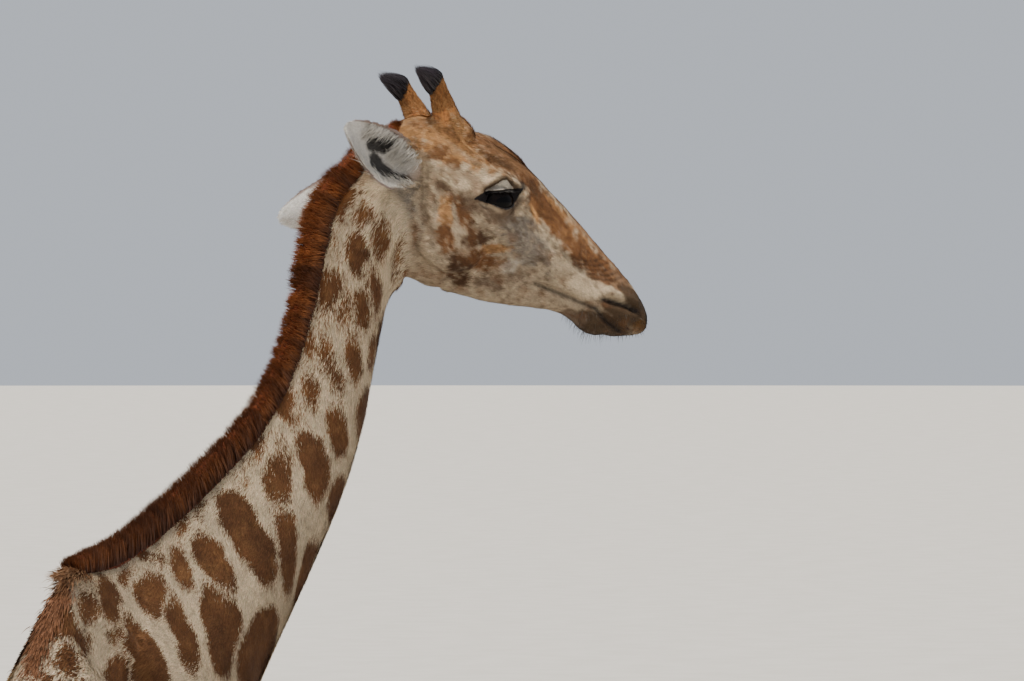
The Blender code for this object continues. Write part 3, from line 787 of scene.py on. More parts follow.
def to_line(flat, line):
    """The least distance from points (x, z) to a polyline, and the share of its length there."""
    line = np.array(line)
    runs = np.linalg.norm(np.diff(line, axis=0), axis=1)
    start = np.concatenate([[0], np.cumsum(runs)]) / runs.sum()
    best, share = np.full(len(flat), 9.0), np.zeros(len(flat))
    for i, (a, b) in enumerate(zip(line, line[1:])):
        t = np.clip((flat - a) @ (b - a) / runs[i] ** 2, 0, 1)
        far = np.linalg.norm(flat - a - t[:, None] * (b - a), axis=1)
        near = far < best
        best = np.where(near, far, best)
        share = np.where(near, start[i] + t * (start[i + 1] - start[i]), share)
    return best, share


def nose_wrinkles():
    """Fine folds across the side of the nose, fanning out from the nostril."""
    lines = []
    for k in range(WRINKLES):
        x = 0.196 + 0.013 * k
        lines.append(([(x, 0.046 - 0.004 * k), (x + 0.010, 0.026), (x + 0.026, 0.012)], 0.0030, 0.0016))
    for k in range(5):
        x, z = 0.150 + 0.012 * k, 0.004 - 0.002 * k
        line = [(x, z), (x + 0.045, z + 0.007), (x + 0.082, z + 0.028), (x + 0.098, z + 0.048)]
        lines.append((line, 0.0032, 0.0026))
    for k in range(4):
        x = 0.300 + 0.013 * k
        lines.append(([(x, 0.036 - 0.003 * k), (x + 0.008, 0.024 - 0.002 * k)], 0.0030, 0.0018))
    return lines


def fold_head(points, normals):
    """Grooves, ridges and fine wrinkles of the head, cut or raised along the normals."""
    local = in_head(points)
    flat = local[:, [0, 2]]
    side = smooth(0.012, 0.030, np.abs(local[:, 1]))
    rise = np.zeros(len(points))
    for line, width, depth in FOLDS + nose_wrinkles():
        far, share = to_line(flat, line)
        ends = np.clip(np.minimum(share, 1 - share) * 6 + 0.15, 0, 1)
        rise -= depth * bell(far, width) * ends * side
    muzzle = smooth(0.20, 0.30, local[:, 0])
    rise += 0.0007 * noise(local, 0.006, 3) * muzzle + 0.0008 * noise(local, 0.020, 4)
    moving = (local[:, 0] > -0.175) & (np.abs(local[:, 1]) < 0.12)
    return points + normals * (rise * moving)[:, None]


def eye_frame(side):
    """The eyeball's centre, and the directions along the lids, up across them and outwards."""
    sign = SIDES[side]
    centre = out_of_head(np.array(EYE) * (1, sign, 1))
    along = HEAD_AXES @ (math.cos(EYE_TILT), 0.0, math.sin(EYE_TILT))
    outward = HEAD_AXES @ (0.10, sign, 0.06)
    outward -= outward @ along * along
    outward /= np.linalg.norm(outward)
    up = np.cross(outward, along) * -sign
    return centre, along, up, outward


def outside(a, b, outline):
    """Roughly how far points lie outside an outline, less than zero inside it."""
    rows = spline(outline, 80)
    low, high = (np.interp(a, rows[:, 0], rows[:, c]) for c in (1, 2))
    beyond = np.maximum(rows[0, 0] - a, a - rows[-1, 0])
    across = np.maximum(low - b, b - high)
    return np.where(beyond > 0, np.hypot(beyond, np.maximum(across, 0)), across)


def eye_ring(points, side):
    """Places along, across and out of an eye, and distances outside its opening, dark skin and lid."""
    centre, along, up, outward = eye_frame(side)
    q = points - centre
    a, b, high = q @ along, q @ up, q @ outward
    far = [np.where(high > 0, outside(a, b, line), 1.0) for line in (EYE_OPENING, EYE_DARK, EYE_LID)]
    return (a, b, high, *far)


def set_lids(points, side):
    """Opens the skin over the eye and wraps the lids round the ball."""
    outward = eye_frame(side)[3]
    a, b, high, far, _, lid = eye_ring(points, side)
    radius = np.minimum(np.hypot(a, b), 0.93 * EYE_RADIUS)
    ball = np.sqrt(EYE_RADIUS**2 - radius**2)
    wall = ball + 0.0024 * bell(far - 0.003, 0.004) + 0.0008
    over = smooth(0.010, 0.022, b) * smooth(0.060, 0.030, np.abs(a - 0.004))
    crease = -0.0042 * bell(lid - 0.0028, 0.0026) * over
    brow = 0.0075 * bell(lid - 0.0115, 0.0080) * over
    under = smooth(0.004, -0.004, b)
    bag = 0.0016 * bell(far - 0.0160, 0.0060) * under
    hold = 1 - smooth(0.004, 0.024, far)
    edge = smooth(-0.0016, 0.0004, far)
    wanted = (ball - 0.006) * (1 - edge) + wall * edge
    shift = (wanted - high) * hold + crease + brow + bag
    return points + np.outer(np.where((high > 0) & (far < 0.09), shift, 0.0), outward)


# Folds of the neck's root and the shoulder on each side: line (x, z), width and depth.
BODY_FOLDS = [
    ([(0.00, 2.37), (0.05, 2.28), (0.09, 2.18), (0.11, 2.08)], 0.034, -0.010),
    ([(0.07, 2.34), (0.13, 2.24), (0.17, 2.12), (0.18, 2.02)], 0.028, 0.008),
    ([(-0.06, 2.33), (-0.03, 2.20), (0.00, 2.08)], 0.034, 0.007),
]


def fold_body(points, normals):
    """Soft muscle forms of the shoulder, flank and legs."""
    side = smooth(0.02, 0.05, np.abs(points[:, 1]))
    low = 1 - smooth(2.30, 2.42, points[:, 2])
    rise = np.zeros(len(points))
    for line, width, depth in BODY_FOLDS:
        far, share = to_line(points[:, [0, 2]], line)
        ends = np.clip(np.minimum(share, 1 - share) * 5 + 0.2, 0, 1)
        rise -= depth * bell(far, width) * ends * side * low
    rise += 0.004 * noise(points, 0.20, 7) * smooth(1.2, 1.6, points[:, 2])
    rise += 0.0012 * noise(points * (1, 1, 0.4), 0.03, 8)
    body = in_head(points)[:, 0] < -0.30
    return points + normals * np.where(body, rise, 0.0)[:, None]


def throat_folds(points, normals):
    """Loose skin in long folds down the throat, just behind the jaw."""
    path = nape_path(210)
    row = min(path, key=lambda r: abs(r[2][0] - 1.20))
    centre, axes, sizes = row[0], np.array(row[1]), row[2]
    q = (points - np.array(centre)) @ axes
    deep = -q[:, 2] / sizes[4]
    near = bell(q[:, 0], 0.11) * smooth(0.35, 0.60, deep) * (np.abs(deep) < 1.3)
    wave = np.sin(q[:, 2] / 0.0085 + 2.5 * noise(points, 0.05, 9))
    return points + normals * (0.0022 * wave * near * (np.abs(q[:, 1]) < 0.12))[:, None]


COAT_DEPTH = 0.0035
HEAD_COAT_DEPTH = 0.0022


def skin_mesh():
    """The finished skin: joined flesh, folds, lids, and drawn in by the coat's depth."""
    bm = whole_flesh()
    for side in SIDES:
        centre, _, _, outward = eye_frame(side)
        refine(bm, Vector(centre + outward * EYE_RADIUS), 0.056, 2)
    mesh = bpy.data.meshes.new("skin")
    bm.to_mesh(mesh)
    bm.free()
    for change in (fold_body, throat_folds, fold_head):
        normals = points_of(mesh, "normal")
        move(mesh, change(points_of(mesh), normals))
    points = points_of(mesh)
    near = smooth(0.75, 0.45, np.linalg.norm(in_head(points) - (0.1, 0, 0), axis=1))
    depth = COAT_DEPTH + (HEAD_COAT_DEPTH - COAT_DEPTH) * near
    points -= points_of(mesh, "normal") * depth[:, None]
    for side in SIDES:
        points = set_lids(points, side)
    move(mesh, points)
    mesh.shade_smooth()
    return mesh


# -------- where each bit of skin lies
def bones():
    """For each length of the body: centres, radii, directions of its hair, and its up axis."""
    back, down = -HEAD_AXES[:, 0], -HEAD_AXES[:, 2]
    rows = spline(HEAD, 40)
    middle = out_of_head(np.stack([rows[:, 0], 0 * rows[:, 0], (rows[:, 1] + rows[:, 3]) / 2], 1))
    radius = 0.25 * (rows[:, 1] - rows[:, 3]) + 0.5 * rows[:, 4]
    found = {"head": (middle, radius, [back + 0.25 * down] * len(rows), -down)}
    path = nape_path(80)
    middle = np.array([p - axes.col[2] * 0.5 * row[4] for p, axes, row in path])
    radius = np.array([0.25 * row[4] + 0.5 * row[5] for _, _, row in path])
    along = unit(np.gradient(middle, axis=0))
    found["neck"] = (middle, radius, -along + (0, 0, -0.25), (-0.5, 0.0, 0.8))
    rows = spline(TRUNK, 60)[6:-3]
    middle = np.stack([rows[:, 0], 0 * rows[:, 0], (rows[:, 1] + rows[:, 3]) / 2], 1)
    radius = 0.25 * (rows[:, 1] - rows[:, 3]) + 0.5 * rows[:, 4]
    found["trunk"] = (middle, radius, [(-1.0, 0.0, -0.45)] * len(rows), (0, 0, 1))
    for kind in ("fore", "hind"):
        for side in SIDES:
            rows = np.array([r for r in leg_rows(kind, side, 60) if r[0] < 1.62])
            middle = rows[:, [1, 2, 0]]
            radius = 0.5 * (rows[:, 3] + rows[:, 4])
            along = unit(np.gradient(middle, axis=0))
            found[f"leg_{kind}_{side}"] = (middle, radius, along, (-1, 0, 0))
    for side in SIDES:
        root, along, _, out = ear_frame(side)
        rows = spline(EAR, 20)[4:]
        middle = root + np.outer(rows[:, 0] * EAR_LENGTH, along) - np.outer(0.5 * rows[:, 2], out)
        found[f"ear_{side}"] = (middle, 0.8 * rows[:, 1] + 0.004, [along] * len(rows), out)
    rows = spline(TAIL, 30)[8:]
    middle = np.stack([rows[:, 0], 0 * rows[:, 0], rows[:, 1]], 1)
    found["tail"] = (middle, rows[:, 2], [(0.0, 0.0, -1.0)] * len(rows), (1, 0, 0))
    return found


def locate(points):
    """The nearest length of the body for each point, its place there, and the lie of the hair."""
    names, reach, flows, places = [], [], [], []
    for name, (middle, radius, flow, up) in bones().items():
        far = np.full(len(points), 1e9)
        nearest = np.zeros(len(points), int)
        for k in range(len(middle)):
            d = np.linalg.norm(points - middle[k], axis=1) / radius[k]
            nearest = np.where(d < far, k, nearest)
            far = np.minimum(d, far)
        along = unit(np.gradient(middle, axis=0))[nearest]
        q = points - middle[nearest]
        left = unit(np.cross(along, np.array(up)))
        above = np.cross(left, along)
        around = np.arctan2((q * left).sum(1), (q * above).sum(1)) / (2 * np.pi) + 0.5
        step = np.linalg.norm(np.gradient(middle, axis=0), axis=1)[nearest]
        share = (nearest + np.clip((q * along).sum(1) / step, -0.6, 0.6)) / (len(middle) - 1)
        names.append(name)
        reach.append(far)
        flows.append(unit(np.array(flow, float))[nearest])
        places.append(np.stack([around, np.clip(share, 0, 1)], 1))
    reach = np.array(reach)
    region = reach.argmin(0)
    weight = (reach.min(0) / reach) ** 6
    flow = unit((weight[:, :, None] * np.array(flows)).sum(0))
    place = np.array(places)[region, np.arange(len(points))]
    face = smooth(0.92, 1.18, reach[names.index("neck")] / reach[names.index("head")])
    local = in_head(points)
    face = np.maximum(face, smooth(0.022, 0.036, local[:, 2]) * smooth(-0.25, -0.21, local[:, 0]))
    return np.array(names)[region], place, flow, face


# -------- markings
def srgb(*values):
    """A linear colour from the values 0 to 255 that a screen shows."""
    share = np.array(values, float) / 255
    return np.where(share < 0.04045, share / 12.92, ((share + 0.055) / 1.055) ** 2.4)


CREAM = srgb(216, 195, 164)
WHITE = srgb(236, 228, 214)
TAN = srgb(180, 133, 86)
GOLD = srgb(208, 156, 102)
ORANGE = srgb(138, 95, 60)
BROWN = srgb(117, 79, 50)
DARK_BROWN = srgb(86, 58, 40)
UMBER = srgb(78, 54, 37)
DUN = srgb(122, 102, 84)
GREY = srgb(146, 136, 124)
OLIVE = srgb(82, 65, 48)
OCHRE = srgb(104, 72, 36)
BLACK = srgb(28, 23, 24)
# The last of these colours, the amber, is painted sunlight on the neck's upward-facing patches.
SAND, FAWN, SUNLIT_AMBER = srgb(214, 190, 158), srgb(168, 116, 72), srgb(190, 118, 62)
EAR_WHITE, EAR_RUST = srgb(230, 226, 220), srgb(120, 86, 72)

# Patches of the neck's right side: distance along the nape, depth below it as a share of
# the neck's, place out from the middle as a share of its half width, half length, half
# width, and the turn of the patch against the neck, in degrees.
NECK_PATCHES = [
    (1.18, 0.00, -0.31, 0.020, 0.012, 0),
    (1.11, 0.09, -0.60, 0.030, 0.020, -33),
    (1.03, 0.17, -0.74, 0.036, 0.022, 15),
    (1.08, 0.34, -0.96, 0.040, 0.015, 17),
    (1.06, 0.67, -0.95, 0.038, 0.014, 38),
    (0.93, 0.05, -0.29, 0.060, 0.024, 0),
    (0.91, 0.18, -0.72, 0.040, 0.015, 16),
    (0.93, 0.34, -0.93, 0.038, 0.018, 16),
    (0.96, 0.51, -1.01, 0.060, 0.017, 34),
    (0.82, 0.00, -0.27, 0.034, 0.017, 17),
    (0.81, 0.19, -0.70, 0.048, 0.019, 30),
    (0.84, 0.39, -0.94, 0.048, 0.018, 20),
    (0.88, 0.67, -0.91, 0.042, 0.022, -4),
    (0.75, 0.06, -0.49, 0.040, 0.026, 2),
    (0.73, 0.41, -0.99, 0.046, 0.025, 25),
    (0.62, 0.14, -0.56, 0.074, 0.030, 22),
    (0.67, 0.33, -0.87, 0.063, 0.034, 38),
    (0.68, 0.72, -0.84, 0.044, 0.032, -11),
    (0.50, 0.23, -0.68, 0.086, 0.045, 59),
    (0.55, 0.46, -0.97, 0.076, 0.031, 32),
    (0.41, 0.19, -0.58, 0.060, 0.037, 49),
    (0.34, 0.11, -0.40, 0.046, 0.026, 33),
    (0.23, 0.10, -0.39, 0.058, 0.033, 23),
    (0.33, 0.38, -0.87, 0.090, 0.046, 21),
    (0.58, 0.78, -0.79, 0.062, 0.033, 17),
    (0.41, 0.67, -0.93, 0.100, 0.062, -14),
    (0.24, 0.27, -0.70, 0.076, 0.027, 45),
    (0.09, 0.08, -0.29, 0.050, 0.035, 34),
    (0.11, 0.27, -0.67, 0.080, 0.048, 81),
    (0.60, -0.04, -0.20, 0.030, 0.013, -15),
    (0.55, -0.03, -0.19, 0.026, 0.014, -15),
    (0.46, -0.01, -0.17, 0.027, 0.012, -5),
    (0.41, -0.02, -0.16, 0.036, 0.013, -6),
    (0.31, 0.00, -0.14, 0.030, 0.010, -14),
    (0.20, 0.00, -0.13, 0.040, 0.009, -6),
    (1.03, -0.08, -0.30, 0.030, 0.011, 6),
]
# Patches of the right shoulder: x, y, z, half length, half width, turn.
SHOULDER_PATCHES = [
    (-0.01, -0.04, 2.34, 0.050, 0.026, 15),
    (0.05, -0.07, 2.29, 0.034, 0.020, -6),
    (-0.11, -0.03, 2.31, 0.028, 0.009, 10),
    (-0.14, -0.05, 2.26, 0.055, 0.032, 20),
    (0.03, -0.08, 2.23, 0.060, 0.026, 1),
]
# Half length and half width of the patches elsewhere, and the cream gap between them.
PATCH_SIZES = {
    "neck": (0.062, 0.036, 0.014),
    "trunk": (0.092, 0.070, 0.018),
    "haunch": (0.074, 0.054, 0.016),
    "upper": (0.054, 0.038, 0.013),
    "lower": (0.036, 0.024, 0.012),
}
# The direction of the photo's view: the front of the body that faces it has only the patches above.
VIEW = np.array([0.970, 0.242, -0.012])


def patch_sizes(points, region):
    """The half length, half width and gap of the patches round each point."""
    sizes = np.tile(PATCH_SIZES["trunk"], (len(points), 1))
    leg = np.char.startswith(region, "leg")
    z = points[:, 2]
    sizes[region == "neck"] = PATCH_SIZES["neck"]
    sizes[leg & (z > 1.45)] = PATCH_SIZES["haunch"]
    sizes[leg & (z <= 1.45)] = PATCH_SIZES["upper"]
    sizes[leg & (z < 0.95)] = PATCH_SIZES["lower"]
    return sizes


def patch_seeds(points, normals, region, flow, rng):
    """Middles, scaled axes, widths and gaps of all the patches, listed ones first."""
    wanted = []
    far = np.linspace(0, NAPE[-1][0], 281)
    line, _, left, up = nape_rows(far)
    rows = np.array([row for _, _, row in nape_path(281)])
    for distance, deep, out, long, wide, turn in NECK_PATCHES:
        k = np.abs(far - distance).argmin()
        place = line[k] - up[k] * deep * rows[k, 4] + left[k] * out * rows[k, 5]
        wanted.append((place, long, wide, turn))
    wanted += [(np.array(row[:3]), *row[3:]) for row in SHOULDER_PATCHES]
    sizes = patch_sizes(points, region)
    seeds = []
    free = ~np.isin(region, ["head", "ear_left", "ear_right", "tail"])
    free &= ~((normals @ VIEW < -0.12) & (points[:, 0] > -0.16) & (points[:, 2] > 2.16))
    free &= (normals[:, 2] > -0.80) | (points[:, 2] < 1.35)

    def plant(k, centre, long, wide, gap, turn, clear):
        along = -flow[k] + normals[k] * (flow[k] @ normals[k])
        along /= np.linalg.norm(along)
        across = np.cross(normals[k], along)
        angle = math.radians(turn)
        run = along * math.cos(angle) + across * math.sin(angle)
        side = np.cross(normals[k], run)
        axes = np.stack([run / long, side / wide, normals[k] / (1.6 * wide)], 1)
        seeds.append((centre, axes, wide, gap))
        free[np.linalg.norm((points - centre) @ axes, axis=1) < clear] = False

    for centre, long, wide, turn in wanted:
        k = np.linalg.norm(points - centre, axis=1).argmin()
        plant(k, centre, long, wide, 0.006, turn, 1.75)
    order = rng.permutation(len(points))
    for k in order:
        if free[k]:
            long, wide, gap = sizes[k] * (rng.uniform(0.85, 1.15), rng.uniform(0.85, 1.15), 1)
            plant(k, points[k], long, wide, gap, rng.uniform(-40, 40), 1.72)
    return seeds


def patch_field(points, seeds):
    """How far inside its patch each point lies, in metres, and the tone of that patch."""
    warp = np.stack([noise(points, 0.045, s) for s in (11, 12, 13)], 1) * 0.0095
    warp += np.stack([noise(points, 0.018, s) for s in (14, 15, 16)], 1) * 0.0060
    moved = points + warp
    first = np.full(len(points), 9.0)
    second = first.copy()
    wide, gap, tone = first.copy(), first.copy(), first.copy()
    for i, (centre, axes, width, space) in enumerate(seeds):
        near = np.flatnonzero(np.abs(moved - centre).max(1) < 0.30)
        q = np.abs((moved[near] - centre) @ axes)
        d = (q**2.4).sum(1) ** (1 / 2.4)
        best = d < first[near]
        second[near] = np.where(best, first[near], np.minimum(second[near], d))
        chosen = near[best]
        first[chosen] = d[best]
        wide[chosen], gap[chosen] = width, space
        tone[chosen] = (i * 0.618) % 1
    inside = (1.06 - first) * wide
    between = (second - first) * wide * 0.5 - gap * 0.5
    return np.minimum(inside, between), tone


# Marks on each side of the head: x, z, half length, half width, turn of the length from the nose towards the
# brow in degrees, colour, strength. The grey mark under the nose bridge and the grey mark behind the jaw are
# painted shade.
HEAD_MARKS = [
    (-0.165, 0.050, 0.110, 0.066, 8, TAN, 0.92),
    (-0.060, 0.044, 0.050, 0.019, 6, TAN, 0.60),
    (-0.015, 0.080, 0.085, 0.034, 3, ORANGE, 0.80),
    (0.108, 0.048, 0.072, 0.030, -3, ORANGE, 0.95),
    (0.203, 0.033, 0.072, 0.024, 1, ORANGE, 0.90),
    (0.285, 0.030, 0.040, 0.019, 1, BROWN, 0.70),
    (0.080, 0.058, 0.066, 0.016, -8, BROWN, 0.75),
    (0.222, 0.024, 0.066, 0.021, -2, BROWN, 0.75),
    (0.140, 0.066, 0.060, 0.008, -5, GOLD, 0.30),
    (-0.027, 0.061, 0.037, 0.007, 5, UMBER, 0.60),
    (0.053, 0.060, 0.022, 0.008, -19, UMBER, 0.50),
    (0.076, 0.023, 0.023, 0.006, -17, GOLD, 0.85),
    (0.074, -0.003, 0.039, 0.008, 15, UMBER, 0.60),
    (0.033, -0.024, 0.057, 0.017, 15, DUN, 0.70),
    # painted shade under the nose bridge
    (0.098, -0.026, 0.064, 0.030, 1, GREY, 0.75),
    (0.141, -0.024, 0.020, 0.016, 1, DUN, 0.55),
    (-0.182, 0.040, 0.009, 0.022, -43, BROWN, 0.50),
    (-0.133, 0.046, 0.019, 0.009, -19, BROWN, 0.50),
    (-0.105, 0.002, 0.015, 0.009, 23, BROWN, 0.70),
    (-0.139, 0.003, 0.012, 0.022, -31, BROWN, 0.75),
    (-0.179, -0.004, 0.021, 0.008, 19, BROWN, 0.50),
    (-0.102, -0.042, 0.018, 0.010, 19, UMBER, 0.75),
    (-0.062, -0.046, 0.018, 0.013, -31, UMBER, 0.70),
    (-0.066, -0.084, 0.032, 0.014, -48, TAN, 0.80),
    (-0.045, -0.114, 0.026, 0.018, -43, BROWN, 0.95),
    (-0.032, -0.064, 0.037, 0.013, -24, BROWN, 0.95),
    (-0.009, -0.069, 0.019, 0.011, -19, UMBER, 0.60),
    (0.010, -0.082, 0.033, 0.013, 42, UMBER, 0.95),
    (0.043, -0.075, 0.038, 0.009, 39, TAN, 0.80),
    (0.037, -0.100, 0.034, 0.017, 15, BROWN, 0.95),
    (0.074, -0.082, 0.025, 0.012, 23, BROWN, 0.70),
    (0.012, -0.136, 0.032, 0.016, 6, UMBER, 0.95),
    (0.036, -0.142, 0.019, 0.014, -19, UMBER, 0.85),
    (-0.095, -0.140, 0.016, 0.028, 35, BROWN, 0.60),
    (0.088, -0.115, 0.029, 0.011, 23, DUN, 0.70),
    (0.119, -0.082, 0.018, 0.015, 35, DUN, 0.55),
    (-0.090, -0.019, 0.036, 0.017, 15, CREAM, 0.40),
    (0.098, -0.072, 0.014, 0.020, -19, WHITE, 0.25),
    (0.225, -0.029, 0.038, 0.012, 11, CREAM, 0.55),
    (0.262, -0.015, 0.024, 0.009, 6, CREAM, 0.60),
    # painted shade in the hollow behind the jaw
    (-0.160, -0.104, 0.098, 0.032, -55, GREY, 1.00),
    (-0.105, -0.160, 0.022, 0.014, -62, BROWN, 0.60),
    (0.330, 0.021, 0.036, 0.017, -3, OLIVE, 0.85),
    (0.365, 0.014, 0.030, 0.026, -19, OLIVE, 0.95),
    (0.314, -0.050, 0.064, 0.022, 20, OLIVE, 0.90),
    (0.325, -0.014, 0.050, 0.015, 10, OLIVE, 0.90),
    (0.262, -0.068, 0.024, 0.014, 11, DUN, 0.80),
    (0.372, -0.008, 0.018, 0.010, 35, OCHRE, 0.70),
]
JAW_LINE = [(-0.152, -0.012), (-0.130, -0.048), (-0.106, -0.084), (-0.054, -0.140)]
# Lines of the head painted dark, each with width and strength: the mouth and the nostril, partly their own
# dark skin and partly painted shade in the slits, and painted shade in the wrinkles above the lip and in the
# crease behind the jaw.
SHADED_GROOVES = [(FOLDS[0][0], 0.0035, 0.70), (FOLDS[1][0], 0.0040, 0.80), (FOLDS[2][0], 0.0046, 0.92)]
SHADED_GROOVES += [(line, 0.0022, 0.45) for line, _, _ in nose_wrinkles()[-9:-4]]
SHADED_GROOVES.append((JAW_LINE, 0.0045, 0.40))


def layered(colour, *coats):
    """The colour under other colours, each laid on by its share at each point."""
    for other, share in coats:
        colour = colour + (other - colour) * share[:, None]
    return colour


def head_colour(points):
    local = in_head(points)
    x, y, z = local[:, 0], np.abs(local[:, 1]), local[:, 2]
    flat = local[:, [0, 2]]
    grain = 0.30 * noise(local, 0.012, 21) + 0.30 * noise(local, 0.0045, 22)
    grain *= 1 - 0.75 * smooth(0.24, 0.30, x)
    # Painted shade: the lower half of the head is greyed towards dun.
    colour = layered(CREAM, (DUN, 0.50 * smooth(0.03, -0.06, z + 0.02 * grain)))
    for centre_x, centre_z, long, wide, turn, tint, strength in HEAD_MARKS:
        cos, sin = math.cos(math.radians(turn)), math.sin(math.radians(turn))
        q = flat - (centre_x, centre_z)
        far = np.hypot(q @ (cos, sin) / long, q @ (-sin, cos) / wide)
        colour = layered(colour, (tint, min(1.15 * strength, 1.0) * smooth(1.22, 0.78, far + grain)))
    top = smooth(0.036, 0.022, y + 0.01 * grain) * smooth(0.0, 0.02, z)
    top *= smooth(-0.075, -0.035, x) * smooth(0.335, 0.30, x)
    bridge = smooth(-0.005, 0.025, z) * smooth(-0.06, 0.0, x) * smooth(0.33, 0.28, x)
    streak = noise(local * (0.16, 1, 1), 0.0045, 25)
    speck = noise(local, 0.0055, 23) + 0.6 * noise(local * (0.4, 1, 1), 0.0035, 24)
    pale = smooth(-0.15, -0.9, speck) * smooth(0.26, 0.20, x) * (1 - 0.8 * bridge)
    colour = layered(
        colour,
        (ORANGE, 0.85 * top),
        (UMBER, 0.55 * bridge * smooth(0.1, 0.8, streak)),
        (GOLD, 0.22 * bridge * smooth(-0.2, -0.9, streak)),
        (UMBER, 0.55 * smooth(0.05, 0.9, speck)),
        (BROWN, 0.45 * smooth(0.10, 0.8, noise(local, 0.017, 27)) * (1 - bridge)),
        (CREAM, 0.34 * pale),
    )
    # Painted shade along the grooves, with the dark skin of the mouth and nostril.
    for line, width, strength in SHADED_GROOVES:
        far, _ = to_line(flat, line)
        colour = layered(colour, (BLACK, strength * bell(far, width) * smooth(0.010, 0.022, y)))
    for side in SIDES:
        colour = eye_colour(points, side, colour)
    return colour


def eye_colour(points, side, colour):
    """Dark skin at the lids, painted shade in the lid's crease, a painted highlight on the upper lid under
    it, and the pale lower rim.
    """
    a, b, _, _, dark, lid = eye_ring(points, side)
    here = dark < 1
    under = smooth(0.006, -0.004, b)
    over = smooth(0.008, 0.016, b) * smooth(0.062, 0.040, np.abs(a - 0.012))
    return layered(
        colour,
        (DUN, 0.85 * smooth(0.034, 0.012, dark) * under),
        (UMBER, 0.75 * smooth(0.024, 0.006, np.hypot(a + 0.056, b - 0.006)) * here),
        (CREAM, 0.60 * bell(dark - 0.0055, 0.0030) * under * smooth(0.004, -0.012, a)),
        # painted shade in the lid's crease
        (UMBER, 0.85 * bell(lid - 0.0045, 0.0060) * over),
        (BLACK, 0.45 * bell(lid - 0.0022, 0.0024) * over),
        # painted highlight on the upper lid
        (WHITE, 0.80 * smooth(0.0018, -0.0014, lid) * smooth(0.0, 0.0016, dark)),
        (BLACK, 0.80 * smooth(0.012, 0.004, np.hypot((a - 0.050) / 1.6, b - 0.021)) * here),
        (BLACK, smooth(0.0022, -0.0004, dark + 0.0012 * noise(points, 0.003, 26))),
    )


# The two dark rows of hair in the hollow of an ear, as share of its length and metres across.
EAR_DARK = [
    [(0.56, 0.012), (0.47, 0.017), (0.37, 0.025)],
    [(0.46, -0.012), (0.39, -0.014), (0.31, -0.016), (0.20, -0.016), (0.08, -0.013)],
]


def ear_dark(share, across, side):
    """Distance outside the dark rows of an ear, which narrow towards its root."""
    flat = np.stack([share * EAR_LENGTH, across * -SIDES[side]], 1)
    rows = [[(t * EAR_LENGTH, w) for t, w in row] for row in EAR_DARK]
    return np.minimum(*(to_line(flat, row)[0] for row in rows)) - 0.004 - 0.0105 * smooth(0.12, 0.36, share)


def ear_colour(points, side, normals):
    """White hair in the hollow and on the back, painted shade greying the hollow most near the root, dark
    rows in the hollow, and a dusky rim.
    """
    root, along, across, out = ear_frame(side)
    q = points - root
    share, wide = q @ along / EAR_LENGTH, q @ across
    edge = np.abs(wide - SIDES[side] * ear_bow(share)) / read(EAR, 1, share, 60)
    inside = smooth(0.0, 0.4, normals @ out)
    far = ear_dark(share, wide, side) + 0.003 * noise(points, 0.006, 7)
    rim = smooth(0.83, 0.91, edge + 0.02 * noise(points, 0.008, 5)) * smooth(0.05, 0.20, share)
    return layered(
        EAR_WHITE,
        # painted shade in the hollow, deepest towards the root
        (GREY, (0.16 + 0.40 * smooth(0.30, 0.05, share)) * inside),
        (BLACK, 0.92 * smooth(0.004, -0.002, far) * inside),
        (EAR_RUST, 0.75 * rim),
        (TAN, 0.6 * smooth(0.12, -0.02, share + 0.06 * noise(points, 0.02, 6))),
    )


def colours(points, normals, region, face):
    """The ground colour and the patch colour at each point."""
    z = points[:, 2]
    lower = np.char.startswith(region, "leg") * smooth(0.9, 0.4, z)
    # Painted sunlight: neck patches near the mane that face upwards are made amber.
    crest = smooth(0.1, 0.8, normals[:, 2]) * (region == "neck") * smooth(2.6, 2.9, z)
    ground = layered(
        CREAM,
        (WHITE, 0.6 * smooth(1.62, 1.48, z) * (region == "trunk")),
        (GREY, 0.14 + 0.14 * noise(points, 0.10, 31)),
        (SAND, 0.7 * lower),
    )
    patch = layered(
        BROWN,
        (DARK_BROWN, 0.40 + 0.40 * noise(points, 0.05, 32)),
        (TAN, 0.22 * smooth(0.1, 0.9, noise(points, 0.016, 33))),
        # painted sunlight on the upper neck's patches
        (SUNLIT_AMBER, 0.7 * crest),
        (FAWN, 0.5 * lower),
    )
    near = np.flatnonzero(face > 0)
    ground[near] = layered(ground[near], (head_colour(points[near]), face[near]))
    for side in SIDES:
        mine = region == f"ear_{side}"
        ground[mine] = ear_colour(points[mine], side, normals[mine])
    return ground, patch


# -------- coat
def triangles(name, points, faces, tint, places, normals=None):
    """A mesh of triangles with a colour at each vertex, and each tuft's patch of its UV map."""
    mesh = bpy.data.meshes.new(name)
    mesh.vertices.add(len(points))
    mesh.vertices.foreach_set("co", points.astype(np.float32).ravel())
    mesh.loops.add(faces.size)
    mesh.loops.foreach_set("vertex_index", faces.astype(np.int32).ravel())
    mesh.polygons.add(len(faces))
    mesh.polygons.foreach_set("loop_start", np.arange(0, faces.size, 3, dtype=np.int32))
    mesh.update(calc_edges=True)
    field(mesh, "tint", tint)
    layer = mesh.uv_layers.new(name="OFBake")
    layer.data.foreach_set("uv", places[faces.ravel()].astype(np.float32).ravel())
    mesh.shade_smooth()
    if normals is not None:
        mesh.normals_split_custom_set_from_vertices(unit(normals))
    return link(name, mesh)


def at(values, corners, share):
    """A field of the skin's vertices, at roots given by a triangle's corners and their shares."""
    return np.einsum("nk,nk...->n...", share, values[corners])


